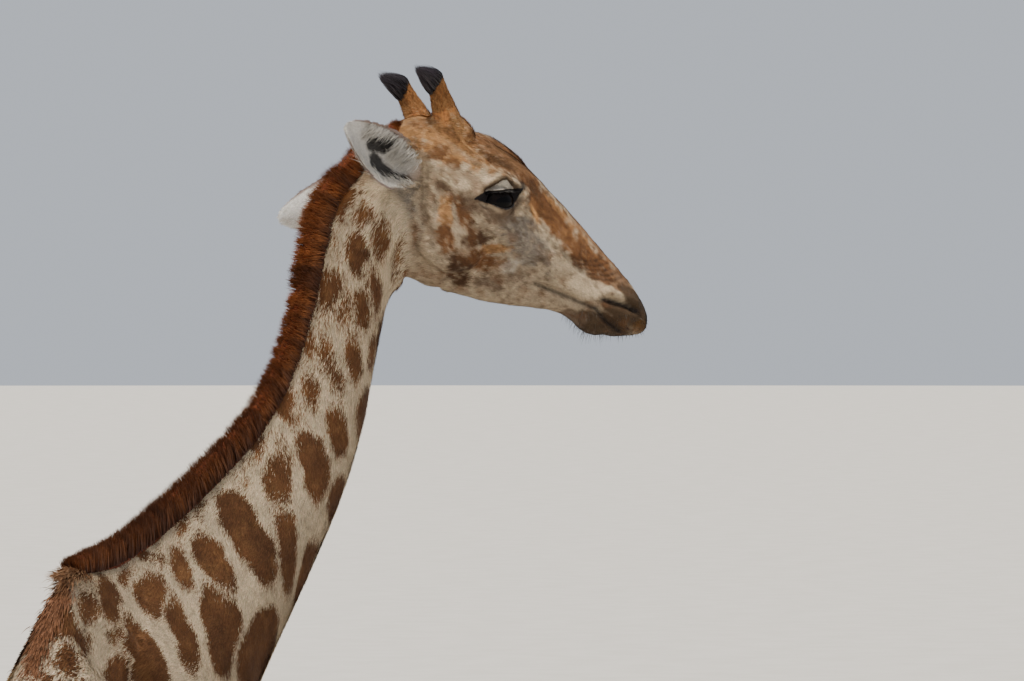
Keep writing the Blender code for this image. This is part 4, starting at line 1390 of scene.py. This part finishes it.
def roots_on(skin, chosen, count, rng):
    """Roots spread evenly over the chosen triangles of the skin."""
    tris = skin["tris"][chosen]
    p = skin["points"][tris]
    area = 0.5 * np.linalg.norm(np.cross(p[:, 1] - p[:, 0], p[:, 2] - p[:, 0]), axis=1)
    total = np.cumsum(area * skin["density"][chosen])
    pick = np.searchsorted(total, (np.arange(count) + rng.random(count)) / count * total[-1])
    a, b = rng.random((2, count))
    over = a + b > 1
    a[over], b[over] = 1 - a[over], 1 - b[over]
    return tris[np.minimum(pick, len(tris) - 1)], np.stack([1 - a - b, a, b], 1)


# The coat's pieces: the lengths of the body in each, tufts, length, width and lift of a tuft.
COAT = {
    "coat_head": (["head"], 185000, 0.0075, 0.0013, 0.0011),
    "coat_ears": (["ear_left", "ear_right"], 42000, 0.0062, 0.0011, 0.0006),
    "coat_neck_left": (["neck"], 165000, 0.0120, 0.0018, 0.0019),
    "coat_neck_right": (["neck"], 185000, 0.0120, 0.0017, 0.0019),
    "coat_trunk_left": (["trunk"], 165000, 0.0185, 0.0030, 0.0030),
    "coat_trunk_right": (["trunk"], 165000, 0.0185, 0.0030, 0.0030),
    "coat_leg_fore_left": (["leg_fore_left"], 78000, 0.0145, 0.0028, 0.0024),
    "coat_leg_fore_right": (["leg_fore_right"], 78000, 0.0145, 0.0028, 0.0024),
    "coat_leg_hind_left": (["leg_hind_left"], 82000, 0.0145, 0.0028, 0.0024),
    "coat_leg_hind_right": (["leg_hind_right"], 82000, 0.0145, 0.0028, 0.0024),
    "coat_tail": (["tail"], 12000, 0.0150, 0.0022, 0.0022),
}
# Half the width of a tuft's patch on the UV map, and the height of the hoof's upper edge.
PATCH_UV, SOLE_HAIR = 0.0015, 0.071


def coat_piece(name, skin, rng):
    """Thin overlapping tufts that lie along the body, each a triangle rooted in the skin."""
    regions, count, length, width, lift = COAT[name]
    corner = skin["tris"][:, 0]
    chosen = np.isin(skin["region"][corner], regions) & skin["furred"][skin["tris"]].all(1)
    if name.endswith(("left", "right")) and "leg" not in name:
        side = 1 if name.endswith("left") else -1
        chosen &= skin["side"][corner] * side >= 0
    tri, share = roots_on(skin, np.flatnonzero(chosen), count, rng)
    root, normal = at(skin["points"], tri, share), unit(at(skin["normals"], tri, share))
    flow = at(skin["flow"], tri, share)
    flow += 0.35 * np.stack([noise(root, 0.06, s) for s in (41, 42, 43)], 1)
    flow = unit(flow - normal * (flow * normal).sum(1)[:, None])
    flow = unit(flow + np.cross(normal, flow) * rng.normal(0, 0.20, count)[:, None])
    across = np.cross(normal, flow)
    size = at(skin["size"], tri, share) * rng.uniform(0.75, 1.25, count)
    long = (length * size)[:, None]
    wide = (0.5 * width * np.sqrt(size))[:, None]
    high = (lift * size * rng.uniform(0.3, 1.7, count))[:, None]
    base = root - normal * 0.0004
    points = np.stack([base + across * wide, base - across * wide, root + flow * long + normal * high], 1)
    mark = at(skin["mark"], tri, share) + rng.normal(0, 0.0036, count)
    marked = smooth(-0.0012, 0.0012, mark) * at(skin["marked"], tri, share)
    tint = layered(at(skin["ground"], tri, share), (at(skin["patch"], tri, share), marked))
    streak = 1 + 0.18 * noise(root, 0.012, 51) + rng.normal(0, 0.17, count)
    tint = np.clip(tint * streak[:, None] * rng.normal(1, 0.03, (count, 3)), 0.004, 0.9)
    tints = np.stack([tint * 0.78, tint * 0.78, tint * 1.08], 1)
    place = skin["place"][tri[:, 0]] * (1 - 4 * PATCH_UV) + 2 * PATCH_UV
    if name == "coat_ears":
        place[:, 0] = 0.5 * place[:, 0] + 0.5 * (skin["region"][tri[:, 0]] == "ear_left")
    places = place[:, None] + np.array([(-1, -1), (1, -1), (0, 1)]) * PATCH_UV
    shading = np.repeat(normal + 0.25 * flow + rng.normal(0, 0.12, (count, 3)), 3, axis=0)
    faces = np.arange(3 * count).reshape(-1, 3)
    points, tints = points.reshape(-1, 3), tints.reshape(-1, 3)
    return triangles(name, points, faces, tints, places.reshape(-1, 2), shading)


def hair(name, root, aim, bend, length, width, tint, tip, place, rng, segments=3):
    """Tapering ribbons that leave their roots along aim and turn towards bend."""
    count = len(root)
    across = unit(np.cross(aim, rng.normal(0, 1, (count, 3))))
    rows, shades = [], []
    for k in range(segments):
        t = k / segments
        middle = root + length[:, None] * (aim * t + bend * t * t)
        half = across * width * (1 - t**1.5) / 2
        rows += [middle - half, middle + half]
        shades += [tint + (tip - tint) * t] * 2
    rows.append(root + length[:, None] * (aim + bend))
    shades.append(tip)
    each = 2 * segments + 1
    step = []
    for k in range(segments - 1):
        step += [(2 * k, 2 * k + 1, 2 * k + 3), (2 * k, 2 * k + 3, 2 * k + 2)]
    step.append((2 * segments - 2, 2 * segments - 1, 2 * segments))
    faces = (np.arange(count)[:, None, None] * each + np.array(step)).reshape(-1, 3)
    points = np.stack(rows, 1).reshape(-1, 3)
    tints = np.stack(shades, 1).reshape(-1, 3)
    spread = np.array([((k % 2) * 2 - 1, k // 2 / segments * 2 - 1) for k in range(each)]) * PATCH_UV
    places = (place[:, None] * (1 - 4 * PATCH_UV) + 2 * PATCH_UV + spread).reshape(-1, 2)
    return triangles(name, points, faces, tints, places)


def skin_fields(mesh):
    """All that the coat needs to know of the skin, by vertex."""
    points, normals = points_of(mesh), points_of(mesh, "normal")
    mesh.calc_loop_triangles()
    tris = np.empty(len(mesh.loop_triangles) * 3, np.int32)
    mesh.loop_triangles.foreach_get("vertices", tris)
    tris = tris.reshape(-1, 3)
    region, place, flow, face = locate(points)
    seeds = patch_seeds(points, normals, region, flow, np.random.default_rng(7))
    mark, tone = patch_field(points, seeds)
    ground, patch = colours(points, normals, region, face)
    local = in_head(points)
    small = (region == "head") | np.char.startswith(region, "ear")
    leg = np.char.startswith(region, "leg")
    size = np.where(small, 1 - 0.50 * smooth(0.12, 0.32, local[:, 0]), 1.0)
    size = np.where(leg, 0.55 + 0.45 * smooth(0.25, 1.0, points[:, 2]), size)
    furred = points[:, 2] > SOLE_HAIR
    for side in SIDES:
        dark = eye_ring(points, side)[4]
        size = np.where(dark < 0.03, size * (0.30 + 0.70 * smooth(0.000, 0.020, dark)), size)
        furred &= dark > 0.0010
    nostril, _ = to_line(local[:, [0, 2]], FOLDS[2][0])
    furred &= (nostril > 0.0040) | (np.abs(local[:, 1]) < 0.015) | (region != "head")
    line, _, left, _ = nape_rows(np.clip(place[:, 1], 0, 1) * NAPE[-1][0])
    off_middle = np.where(region == "trunk", points[:, 1], local[:, 1])
    off_middle = np.where(region == "neck", ((points - line) * left).sum(1), off_middle)
    return dict(
        points=points, normals=normals, tris=tris, region=region, place=place, flow=flow, mark=mark,
        ground=ground, patch=np.clip(patch * (0.86 + 0.28 * tone)[:, None], 0, 1), marked=1 - face,
        size=size, furred=furred, density=1 / size[tris].mean(1) ** 1.5, side=off_middle,
    )


# -------- mane, tassel and other hair
def toned(colour, low, high, count, rng):
    """The colour for each hair, darker or lighter by a factor from low to high."""
    return np.tile(colour, (count, 1)) * rng.uniform(low, high, count)[:, None]


def mane_core():
    """The dense body of the mane under its hair."""
    rings = []
    far = np.linspace(0.035, MANE[-1][0], 90)
    line, _, left, up = nape_rows(far)
    for k, height in enumerate(read(MANE, 1, far)):
        loop = section(0.74 * height, -0.014, 0.0126, 0.85, 0.8, 20)
        rings.append(placed(loop, line[k], left[k], up[k]))
    return link("mane_core", mesh_of("mane_core", [tube(rings)]))


def mane_hair(rng, count=30000):
    """Stiff upright hair along the nape, in clumps."""
    far = (np.arange(count) + rng.random(count)) / count * 1.39 + 0.02
    far = np.clip(far, 0.02, 1.385)
    line, along, left, up = nape_rows(far)
    out = rng.uniform(-1, 1, count)
    lay = np.column_stack([far, out * 0.004, far * 0])
    clump, fine = noise(lay, 0.012, 61), noise(lay, 0.0035, 62)
    low = crest_height(far) - 0.007 - 0.010 * out**2
    root = line + left * (out * 0.0165)[:, None] + up * low[:, None]
    lean = -0.16 - 0.45 * smooth(0.12, 0.02, far) + 0.22 * clump + rng.normal(0, 0.07, count)
    aim = unit(up + left * (0.16 * out + rng.normal(0, 0.05, count))[:, None] + along * lean[:, None])
    bend = -along * rng.uniform(0.0, 0.16, count)[:, None]
    length = (read(MANE, 1, far) - low) * (0.93 + 0.10 * clump) * rng.uniform(0.84, 1.06, count)
    length *= 1 - 0.20 * out**2
    tint = toned(srgb(64, 36, 23), 0.6, 1.3, count, rng)
    tip = layered(srgb(148, 92, 54), (srgb(190, 116, 62), smooth(0.5, 0.95, far)))
    tip = layered(tip, (srgb(88, 50, 30), 0.5 + 0.5 * clump))
    tip = tip * (rng.uniform(0.70, 1.30, count) * (1 + 0.35 * fine))[:, None]
    place = np.stack([0.5 + 0.45 * out, np.clip(far / 1.40, 0, 1)], 1)
    return hair("mane_hair", root, aim, bend, length, 0.0019, tint, tip, place, rng)


def spine_hair(rng, count=7000):
    """Hair that trails from the end of the mane over the withers and down the back."""
    x = 0.06 - 0.63 * rng.random(count) ** 1.7
    top = read(TRUNK[::-1], 1, x) + 0.022 * smooth(-0.04, 0.0, x)
    out = rng.normal(0, 0.45, count)
    root = np.stack([x, out * 0.020, top - 0.010 - 0.004 * out**2], 1)
    front = smooth(-0.05, 0.03, x)
    rise = -0.22 + 0.95 * front + rng.normal(0, 0.04 + 0.12 * front, count)
    aim = unit(np.stack([np.full(count, -1.0), 0.30 * out, rise], 1))
    bend = np.array((-0.1, 0.0, -0.36))
    length = rng.uniform(0.014, 0.024, count) * (1 - 0.4 * smooth(-0.1, -0.55, x)) * (1 + 1.6 * front)
    tint = toned(srgb(92, 56, 34), 0.6, 1.3, count, rng)
    tip = layered(srgb(140, 96, 66), (srgb(190, 150, 112), front)) * rng.uniform(0.6, 1.3, count)[:, None]
    place = np.stack([0.5 + 0.1 * np.clip(out, -3, 3), np.clip((0.05 - x) / 0.62, 0, 1)], 1)
    return hair("spine_hair", root, aim, bend, length, 0.0016, tint, tip, place, rng)


def tassel_hair(rng, count=3600):
    """The long black hair of the tail's end."""
    rows = spline(TAIL, 100)
    share = rng.random(count) ** 0.8
    k = (80 + share * 19).astype(int)
    turn = rng.uniform(0, 2 * np.pi, count)
    ring = np.stack([np.cos(turn), np.sin(turn), 0 * turn], 1)
    root = np.stack([rows[k, 0], 0 * turn, rows[k, 1]], 1) + ring * rows[k, 2:3] * 0.9
    spread = rng.uniform(0.02, 0.095, count)[:, None]
    aim = unit(ring * spread * 1.9 + (0, 0, -1.0))
    bend = -ring * spread * 1.7 + np.array((0.0, 0.0, -0.02))
    length = (root[:, 2] - TASSEL_END) * rng.uniform(0.45, 1.0, count) ** 0.6
    tint = toned(srgb(34, 26, 24), 0.6, 1.6, count, rng)
    tip = toned(srgb(40, 32, 30), 0.6, 1.6, count, rng)
    place = np.stack([turn / 2 / np.pi, share], 1)
    return hair("tassel_hair", root, aim, bend, length, 0.0021, tint, tip, place, rng, 6)


def horn_frames(side, count):
    """Middles, directions along, across and out, and radii along one horn, rounded at its tip."""
    rows = spline(HORN, count)
    middle = out_of_head(rows[:, :3] * (1, SIDES[side], 1))
    along = unit(np.gradient(middle, axis=0))
    across = unit(np.cross(along, HEAD_AXES[:, 1]))
    return middle, along, across, np.cross(along, across), rows[:, 3]


def horn_cap(share, least):
    """The share of a horn's radius that is left near its round tip."""
    return np.sqrt(np.clip(1 - np.clip((share - 0.90) / 0.10, 0, 1) ** 2, least, 1))


def horn_shaft(side):
    middle, _, across, other, radius = horn_frames(side, 40)
    radius = radius * horn_cap(np.arange(40) / 39, 0.02)
    loops = [section(size, -size, size) for size in radius]
    return solid(f"horn_shaft_{side}", [tube([placed(*ring) for ring in zip(loops, middle, across, other)])])


def round_horn(side, low, high, count, rng):
    """Roots on a horn between two shares of its length, with outward and upward directions."""
    middle, along, across, other, radius = horn_frames(side, 200)
    share = rng.uniform(low, high, count)
    k = (share * 199).astype(int)
    turn = rng.uniform(0, 2 * np.pi, count)
    out = across[k] * np.cos(turn)[:, None] + other[k] * np.sin(turn)[:, None]
    root = middle[k] + out * (radius[k] * horn_cap(share, 0.05) * 0.97)[:, None]
    return root, out, along[k], share, np.stack([turn / 2 / np.pi, share], 1)


def horn_fur(side, rng, count=9000):
    root, out, along, share, place = round_horn(side, 0.30, 0.94, count, rng)
    aim = unit(along + 0.16 * out + rng.normal(0, 0.12, (count, 3)))
    grain = noise(root, 0.012, 71)
    ahead = out @ HEAD_AXES[:, 0]
    tint = layered(TAN, (BROWN, np.clip(0.40 + 0.55 * grain, 0, 1)))
    tint = layered(tint, (BLACK, smooth(0.60, 0.84, share - 0.10 * ahead + 0.06 * grain)))
    tint = tint * rng.uniform(0.75, 1.25, count)[:, None]
    length = rng.uniform(0.006, 0.010, count)
    return hair(f"horn_fur_{side}", root, aim, -0.1 * out, length, 0.0013, 0.85 * tint, tint, place, rng, 1)


def horn_hair(side, rng, count=5600):
    """The black tuft on a horn, swept back to a point."""
    found = round_horn(side, 0.55, 1.0, count, rng)
    keep = found[1] @ HEAD_AXES[:, 0] < 0.10 + 3.6 * (found[3] - 0.76)
    root, out, along, _, place = (rows[keep] for rows in found)
    count = len(root)
    tip = out_of_head(np.array(HORN_TUFT) * (1, SIDES[side], 1))
    length = np.linalg.norm(tip - root, axis=1) * rng.uniform(0.45, 1.0, count) ** 0.8
    length *= np.where(rng.random(count) < 0.15, 1.15, 1.0)
    end = root + unit(tip - root + out * 0.003) * length[:, None] + rng.normal(0, 0.0022, (count, 3))
    aim = unit(along * 0.8 + out * 0.42 + rng.normal(0, 0.06, (count, 3)))
    length *= 0.70
    bend = (end - root) / length[:, None] - aim
    tint = toned(srgb(24, 20, 23), 0.5, 1.5, count, rng)
    light = toned(srgb(52, 42, 50), 0.4, 1.8, count, rng)
    return hair(f"horn_hair_{side}", root, aim, bend, length, 0.0013, tint, light, place, rng, 5)


def ear_hair(side, rng, count=5200):
    """Pale hair from the front edge of an ear over two dark rows in its hollow."""
    root, along, across, out = ear_frame(side)
    sign = SIDES[side]
    share = rng.uniform(0.04, 0.72, count)
    edge = rng.uniform(-0.85, 0.92, count)
    wide = edge * read(EAR, 1, share, 100) + sign * ear_bow(share)
    dark = ear_dark(share, wide, side) < rng.normal(0, 0.002, count)
    front = edge * -sign > 0.45
    keep = dark | (rng.random(count) < np.where(front, 0.9, 0.30))
    share, wide, edge, dark, front = (rows[keep] for rows in (share, wide, edge, dark, front))
    count = len(share)
    deep = 0.003 - read(EAR, 2, share, 100) * (1 - edge**2)
    place = root + np.outer(share * EAR_LENGTH, along) + np.outer(wide, across) + np.outer(deep, out)
    sweep = np.where(dark, -0.25, -0.95) * np.where(front | dark, -sign, 0.0)
    aim = unit(along * 0.6 + across * sweep[:, None] + out * rng.uniform(0.10, 0.45, count)[:, None])
    aim = unit(aim + rng.normal(0, 0.14, (count, 3)))
    length = np.where(dark, rng.uniform(0.007, 0.015, count), rng.uniform(0.012, 0.030, count))
    white = toned(srgb(226, 220, 210), 0.7, 1.1, count, rng)
    tint = np.where(dark[:, None], toned(BLACK, 0.4, 1.3, count, rng), white)
    bend = -0.25 * out + 0.1 * along
    uv = np.stack([0.5 + 0.45 * edge, share], 1)
    return hair(f"ear_hair_{side}", place, aim, bend, length, 0.0010, tint, tint, uv, rng)


def lashes(side, rng, count=260):
    """Dark lashes, longest at the front of the upper lid."""
    centre, along, up, outward = eye_frame(side)
    upper = rng.random(count) < 0.72
    a = np.where(upper, rng.uniform(-0.026, 0.036, count), rng.uniform(-0.022, 0.024, count))
    rows = np.array(EYE_DARK)
    low, high = (np.interp(a, rows[:, 0], rows[:, c]) for c in (1, 2))
    b = np.where(upper, high - 0.002, low + 0.001)
    out = np.sqrt(np.clip(EYE_RADIUS**2 - a**2 - b**2, 1.3e-4, None)) + 0.002
    root = centre + np.outer(a, along) + np.outer(b, up) + np.outer(out, outward)
    front = smooth(-0.012, 0.032, a)
    aim = np.outer(0.25 + 0.75 * front, along) + outward
    aim = unit(aim + np.outer(np.where(upper, -0.15, -0.45), up) + rng.normal(0, 0.10, (count, 3)))
    bend = np.outer(np.where(upper, -0.22, -0.10), up)
    length = np.where(upper, 0.007 + 0.010 * front, 0.005) * rng.uniform(0.8, 1.2, count)
    tint = toned(BLACK, 0.5, 1.1, count, rng)
    place = np.stack([0.5 + 12 * a, 0.5 + 20 * b], 1)
    return hair(f"lashes_{side}", root, aim, bend, length, 0.0007, tint, tint, place, rng)


def whiskers(skin, rng, count=420):
    local = in_head(skin["points"])
    chin = (local[:, 0] > 0.25) & (local[:, 2] < -0.030)
    lip = (local[:, 0] > 0.32) & (local[:, 2] < 0.010)
    chosen = rng.choice(np.flatnonzero((chin | lip) & (skin["region"] == "head")), count)
    root, normal, place = (skin[name][chosen] for name in ("points", "normals", "place"))
    down = np.array((0, 0, -1.0))
    aim = unit(normal + 0.5 * down + rng.normal(0, 0.22, (count, 3)))
    under = smooth(-0.025, -0.050, local[chosen, 2])
    length = rng.uniform(0.004, 0.011, count) + 0.012 * under * rng.random(count)
    tint = toned(srgb(60, 50, 42), 0.4, 1.5, count, rng)
    return hair("whiskers", root, aim, down * 0.25, length, 0.0006, tint, tint, place, rng)


# -------- eyes and hooves
def eyeball(side):
    """A dark ball with a wide pupil lying along the lids."""
    centre, along, up, outward = eye_frame(side)
    turn = np.linspace(0, 2 * np.pi, 96, endpoint=False)
    rings = []
    for lift in np.linspace(0.002, np.pi - 0.002, 90):
        ring = np.outer(np.cos(turn), along) + np.outer(np.sin(turn), up)
        rings.append(centre + EYE_RADIUS * (ring * math.sin(lift) + outward * math.cos(lift)))
    ball = solid(f"eyeball_{side}", [tube(rings)])
    points = points_of(ball.data)
    q = (points - centre) / EYE_RADIUS
    a, b = q @ along, q @ up
    spoke = noise(np.column_stack([np.arctan2(b, a) * 4, 0 * a, 0 * a]), 0.10, 81)
    iris = smooth(0.82, 0.72, np.hypot(a, b))
    pupil = smooth(1.08, 0.94, np.hypot(a / 0.46, b / 0.27))
    tint = layered(srgb(9, 7, 7), (srgb(17, 11, 9), iris * (0.6 + 0.3 * spoke)), (srgb(6, 5, 6), pupil))
    field(ball.data, "tint", tint)
    return ball


def hooves(kind, side):
    """Both claws of a foot, with soft growth rings and a flat sole."""
    x, y = leg_rows(kind, side)[-1][1:3]
    solids = []
    for claw in (-1, 1):
        rings = []
        for height, ahead, half_long, half_wide in (*spline(HOOF[:-1], 40), HOOF[-1]):
            ridge = 1 + 0.006 * math.sin(height * 900) * smooth(0.005, 0.012, height)
            middle = (x + ahead, y + claw * (half_wide + CLEFT), height)
            loop = section(half_long * ridge, -half_long * ridge, half_wide, 0.66, 0.76, 48)
            rings.append(placed(loop, middle, (0, 1, 0), (1, 0, 0)))
        solids.append(tube(rings))
    return solid(f"hoof_shells_{kind}_{side}", solids)


# -------- materials
class Nodes:
    """A short way to write a material's nodes."""

    def __init__(self, name):
        self.mat = bpy.data.materials.new(name)
        self.mat.use_nodes = True
        self.tree = self.mat.node_tree
        self.shader = self.tree.nodes["Principled BSDF"]

    def wire(self, value, into):
        """Sets an input to a number or a colour, or links it to another node's output."""
        if isinstance(value, (int, float)):
            into.default_value = value
        elif isinstance(value, np.ndarray):
            into.default_value = (*value, 1)
        else:
            self.tree.links.new(value, into)

    def add(self, kind, *values, **settings):
        """A node with settings, and with values or links for its first inputs."""
        node = self.tree.nodes.new(kind)
        for key, setting in settings.items():
            setattr(node, key, setting)
        for value, socket in zip(values, node.inputs):
            self.wire(value, socket)
        return node

    def attribute(self, name, output="Color"):
        return self.add("ShaderNodeAttribute", attribute_name=name).outputs[output]

    def noise(self, scale, detail=2.0, stretch=(1, 1, 1)):
        """Soft noise in metres, with lumps about 1 / scale wide."""
        mapping = self.add("ShaderNodeMapping", self.add("ShaderNodeTexCoord").outputs["Object"])
        mapping.inputs["Scale"].default_value = stretch
        node = self.add("ShaderNodeTexNoise", mapping.outputs["Vector"])
        node.inputs["Scale"].default_value = scale
        node.inputs["Detail"].default_value = detail
        return node.outputs["Fac"]

    def math(self, kind, *values):
        return self.add("ShaderNodeMath", *values, operation=kind).outputs[0]

    def mix(self, share, a, b, kind="MIX"):
        node = self.add("ShaderNodeMix", share, data_type="RGBA", blend_type=kind)
        self.wire(a, node.inputs[6])
        self.wire(b, node.inputs[7])
        return node.outputs[2]

    def ramp(self, value, *limits):
        """A soft step of the value between the limits From Min, From Max, To Min and To Max."""
        return self.add("ShaderNodeMapRange", value, *limits, interpolation_type="SMOOTHSTEP").outputs[0]

    def shaded(self, colour, factor):
        """The colour made darker or lighter by a factor."""
        grey = self.add("ShaderNodeCombineColor", factor, factor, factor).outputs[0]
        return self.mix(1.0, colour, grey, "MULTIPLY")

    def colour(self, value):
        self.wire(value, self.shader.inputs["Base Color"])

    def bump(self, height, strength, distance):
        node = self.add("ShaderNodeBump", strength, distance)
        self.wire(height, node.inputs["Height"])
        self.wire(node.outputs[0], self.shader.inputs["Normal"])

    def set(self, **values):
        """Sets numbers on the shader and gives the material."""
        for key, value in values.items():
            self.shader.inputs[key.replace("_", " ")].default_value = value
        return self.mat


def skin_material():
    """Short hair over skin: patches cut crisply from the mark, darkened with grain as painted shade under
    the coat, and a fine bump.
    """
    m = Nodes("skin")
    ragged = m.math("MULTIPLY_ADD", m.noise(420.0, 3.0), 0.006, -0.003)
    share = m.ramp(m.math("ADD", m.attribute("mark", "Fac"), ragged), -0.0012, 0.0012)
    share = m.math("MULTIPLY", share, m.attribute("marked", "Fac"))
    colour = m.mix(share, m.attribute("ground"), m.attribute("patch"))
    # Painted shade under the coat: the skin is darkened to between 0.62 and 0.98 of its colour, with grain.
    m.colour(m.shaded(colour, m.ramp(m.noise(700.0, 3.0), 0.3, 0.7, 0.62, 0.98)))
    m.bump(m.noise(900.0, 4.0), 0.55, 0.0012)
    return m.set(Roughness=0.68, Specular_IOR_Level=0.18, Sheen_Weight=0.02)


def hair_material(name, rough, sheen, shine):
    """Hair that takes each tuft's own colour, with streaks along it and a soft shine."""
    m = Nodes(name)
    streaks = m.noise(1500.0, 2.0, (1, 1, 0.3))
    m.colour(m.shaded(m.attribute("tint"), m.ramp(streaks, 0.25, 0.75, 0.80, 1.16)))
    m.wire(m.ramp(m.noise(260.0), 0.2, 0.8, rough - 0.08, rough + 0.08), m.shader.inputs["Roughness"])
    return m.set(Specular_IOR_Level=shine, Sheen_Weight=sheen)


def eye_material():
    m = Nodes("eyeball")
    m.colour(m.shaded(m.attribute("tint"), m.ramp(m.noise(1400.0, 3.0), 0.3, 0.7, 0.75, 1.2)))
    return m.set(Roughness=0.15, Specular_IOR_Level=0.05, Coat_Weight=0.07, Coat_Roughness=0.02)


def hoof_material():
    m = Nodes("hoof")
    rings = m.noise(60.0, 3.0, (0.15, 0.15, 6.0))
    horn = m.mix(m.ramp(rings, 0.35, 0.65), srgb(46, 38, 33), srgb(92, 76, 62))
    m.colour(m.mix(m.ramp(m.noise(35.0, 4.0), 0.45, 0.75, 0.0, 0.5), horn, srgb(150, 126, 98)))
    m.wire(m.ramp(rings, 0.3, 0.7, 0.38, 0.60), m.shader.inputs["Roughness"])
    m.bump(rings, 0.5, 0.0012)
    return m.set()


def core_material():
    m = Nodes("mane_core")
    strand = m.noise(240.0, 4.0)
    m.colour(m.mix(m.ramp(strand, 0.35, 0.65), srgb(58, 26, 14), srgb(112, 54, 28)))
    m.bump(strand, 0.8, 0.003)
    return m.set(Roughness=0.8, Specular_IOR_Level=0.2)


def shaft_material():
    m = Nodes("horn_shaft")
    m.colour(m.mix(m.ramp(m.noise(160.0, 4.0), 0.35, 0.65), srgb(128, 80, 44), srgb(178, 118, 66)))
    m.bump(m.noise(700.0, 3.0), 0.6, 0.0012)
    return m.set(Roughness=0.7, Specular_IOR_Level=0.25)


# -------- the studio
# The camera's place, the way it looks, and its lens and sensor in millimetres.
CAMERA_PLACE = Vector((-14.4173, -4.3537, 2.96295))
CAMERA_LOOK = Vector((0.97022616, 0.24190455, -0.01197483))
CAMERA_LENS, CAMERA_SENSOR = 318.5, 36.0


def camera(shift):
    data = bpy.data.cameras.new("camera")
    data.lens, data.sensor_width = CAMERA_LENS, CAMERA_SENSOR
    data.clip_end = 600
    eye = link("camera", data)
    eye.location = CAMERA_PLACE + shift
    eye.rotation_euler = CAMERA_LOOK.to_track_quat("-Z", "Y").to_euler()
    bpy.context.scene.camera = eye


def sun(name, direction, power, spread, colour):
    """A soft distant light that comes from the direction."""
    data = bpy.data.lights.new(name, "SUN")
    data.energy, data.angle, data.color = power, math.radians(spread), colour
    link(name, data).rotation_euler = Vector(direction).to_track_quat("Z", "Y").to_euler()


def studio():
    mesh = bpy.data.meshes.new("floor")
    bm = bmesh.new()
    bmesh.ops.create_circle(bm, cap_ends=True, radius=160, segments=96)
    bm.to_mesh(mesh)
    bm.free()
    floor = link("floor", mesh)
    m = Nodes("floor")
    m.colour(m.mix(m.ramp(m.noise(3.0, 4.0), 0.3, 0.7), srgb(206, 202, 194), srgb(212, 208, 201)))
    floor.data.materials.append(m.set(Roughness=0.9, Specular_IOR_Level=0.1))
    sun("key", (-0.34, 0.10, 1.0), 4.8, 10, (1.0, 0.93, 0.82))
    world = bpy.data.worlds.new("studio")
    world.use_nodes = True
    background = world.node_tree.nodes["Background"]
    background.inputs["Color"].default_value = (0.70, 0.75, 0.83, 1)
    background.inputs["Strength"].default_value = 0.78
    bpy.context.scene.world = world


# -------- the giraffe
def shift_to_frame():
    """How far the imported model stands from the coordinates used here."""
    low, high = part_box("eye_right")
    return (low + high) / 2 - HEAD_PLACE @ (EYE * Vector((1, -1, 1)))


FLESH = ["head", "neck_upper", "neck_middle", "neck_lower", "trunk", "ear_left", "ear_right", "tail"]
FLESH += [f"{k}leg_{s}_{p}" for k in ("fore", "hind") for s in SIDES for p in ("upper", "lower")]


def finish(piece, material, slot, shift, *nodes):
    """Gives a piece its material and place, and hides the imported parts that it stands for; the slot is not
    used.
    """
    piece.data.materials.clear()
    piece.data.materials.append(material)
    piece.data.transform(Matrix.Translation(shift))
    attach(piece, "root")
    if nodes:
        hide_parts(*nodes)


def dress(shift):
    mesh = skin_mesh()
    fields = skin_fields(mesh)
    for name in ("mark", "marked", "ground", "patch"):
        field(mesh, name, fields[name])
    finish(link("skin", mesh), skin_material(), "coat", shift, *FLESH)
    fur = hair_material("coat", 0.72, 0.02, 0.14)
    rng = np.random.default_rng(2)
    for name in COAT:
        finish(coat_piece(name, fields, rng), fur, "ear" if "ears" in name else "coat", shift)
    mane = hair_material("mane", 0.60, 0.02, 0.25)
    dark = hair_material("dark_hair", 0.45, 0.05, 0.45)
    finish(mane_hair(rng), mane, "mane", shift, "mane_lower", "mane_middle", "mane_upper")
    finish(mane_core(), core_material(), "mane", shift)
    finish(spine_hair(rng), mane, "mane", shift)
    finish(tassel_hair(rng), dark, "tail_tassel", shift, "tail_tassel")
    finish(whiskers(fields, rng), dark, "coat", shift)
    shaft, ball, horn = shaft_material(), eye_material(), hoof_material()
    for side in SIDES:
        finish(horn_shaft(side), shaft, "horn", shift, f"horn_{side}")
        finish(horn_fur(side, rng), fur, "horn", shift)
        finish(horn_hair(side, rng), dark, "horn_tuft", shift, f"horn_tuft_{side}")
        finish(ear_hair(side, rng), fur, "ear", shift)
        finish(lashes(side, rng), dark, "coat", shift)
        finish(eyeball(side), ball, "eye", shift, f"eye_{side}")
        for kind in ("fore", "hind"):
            claws = [f"hoof_{kind}_{side}_{inner}_claw" for inner in SIDES]
            finish(hooves(kind, side), horn, "hoof", shift, *claws)


def main():
    shift = shift_to_frame()
    dress(shift)
    studio()
    camera(shift)


main()
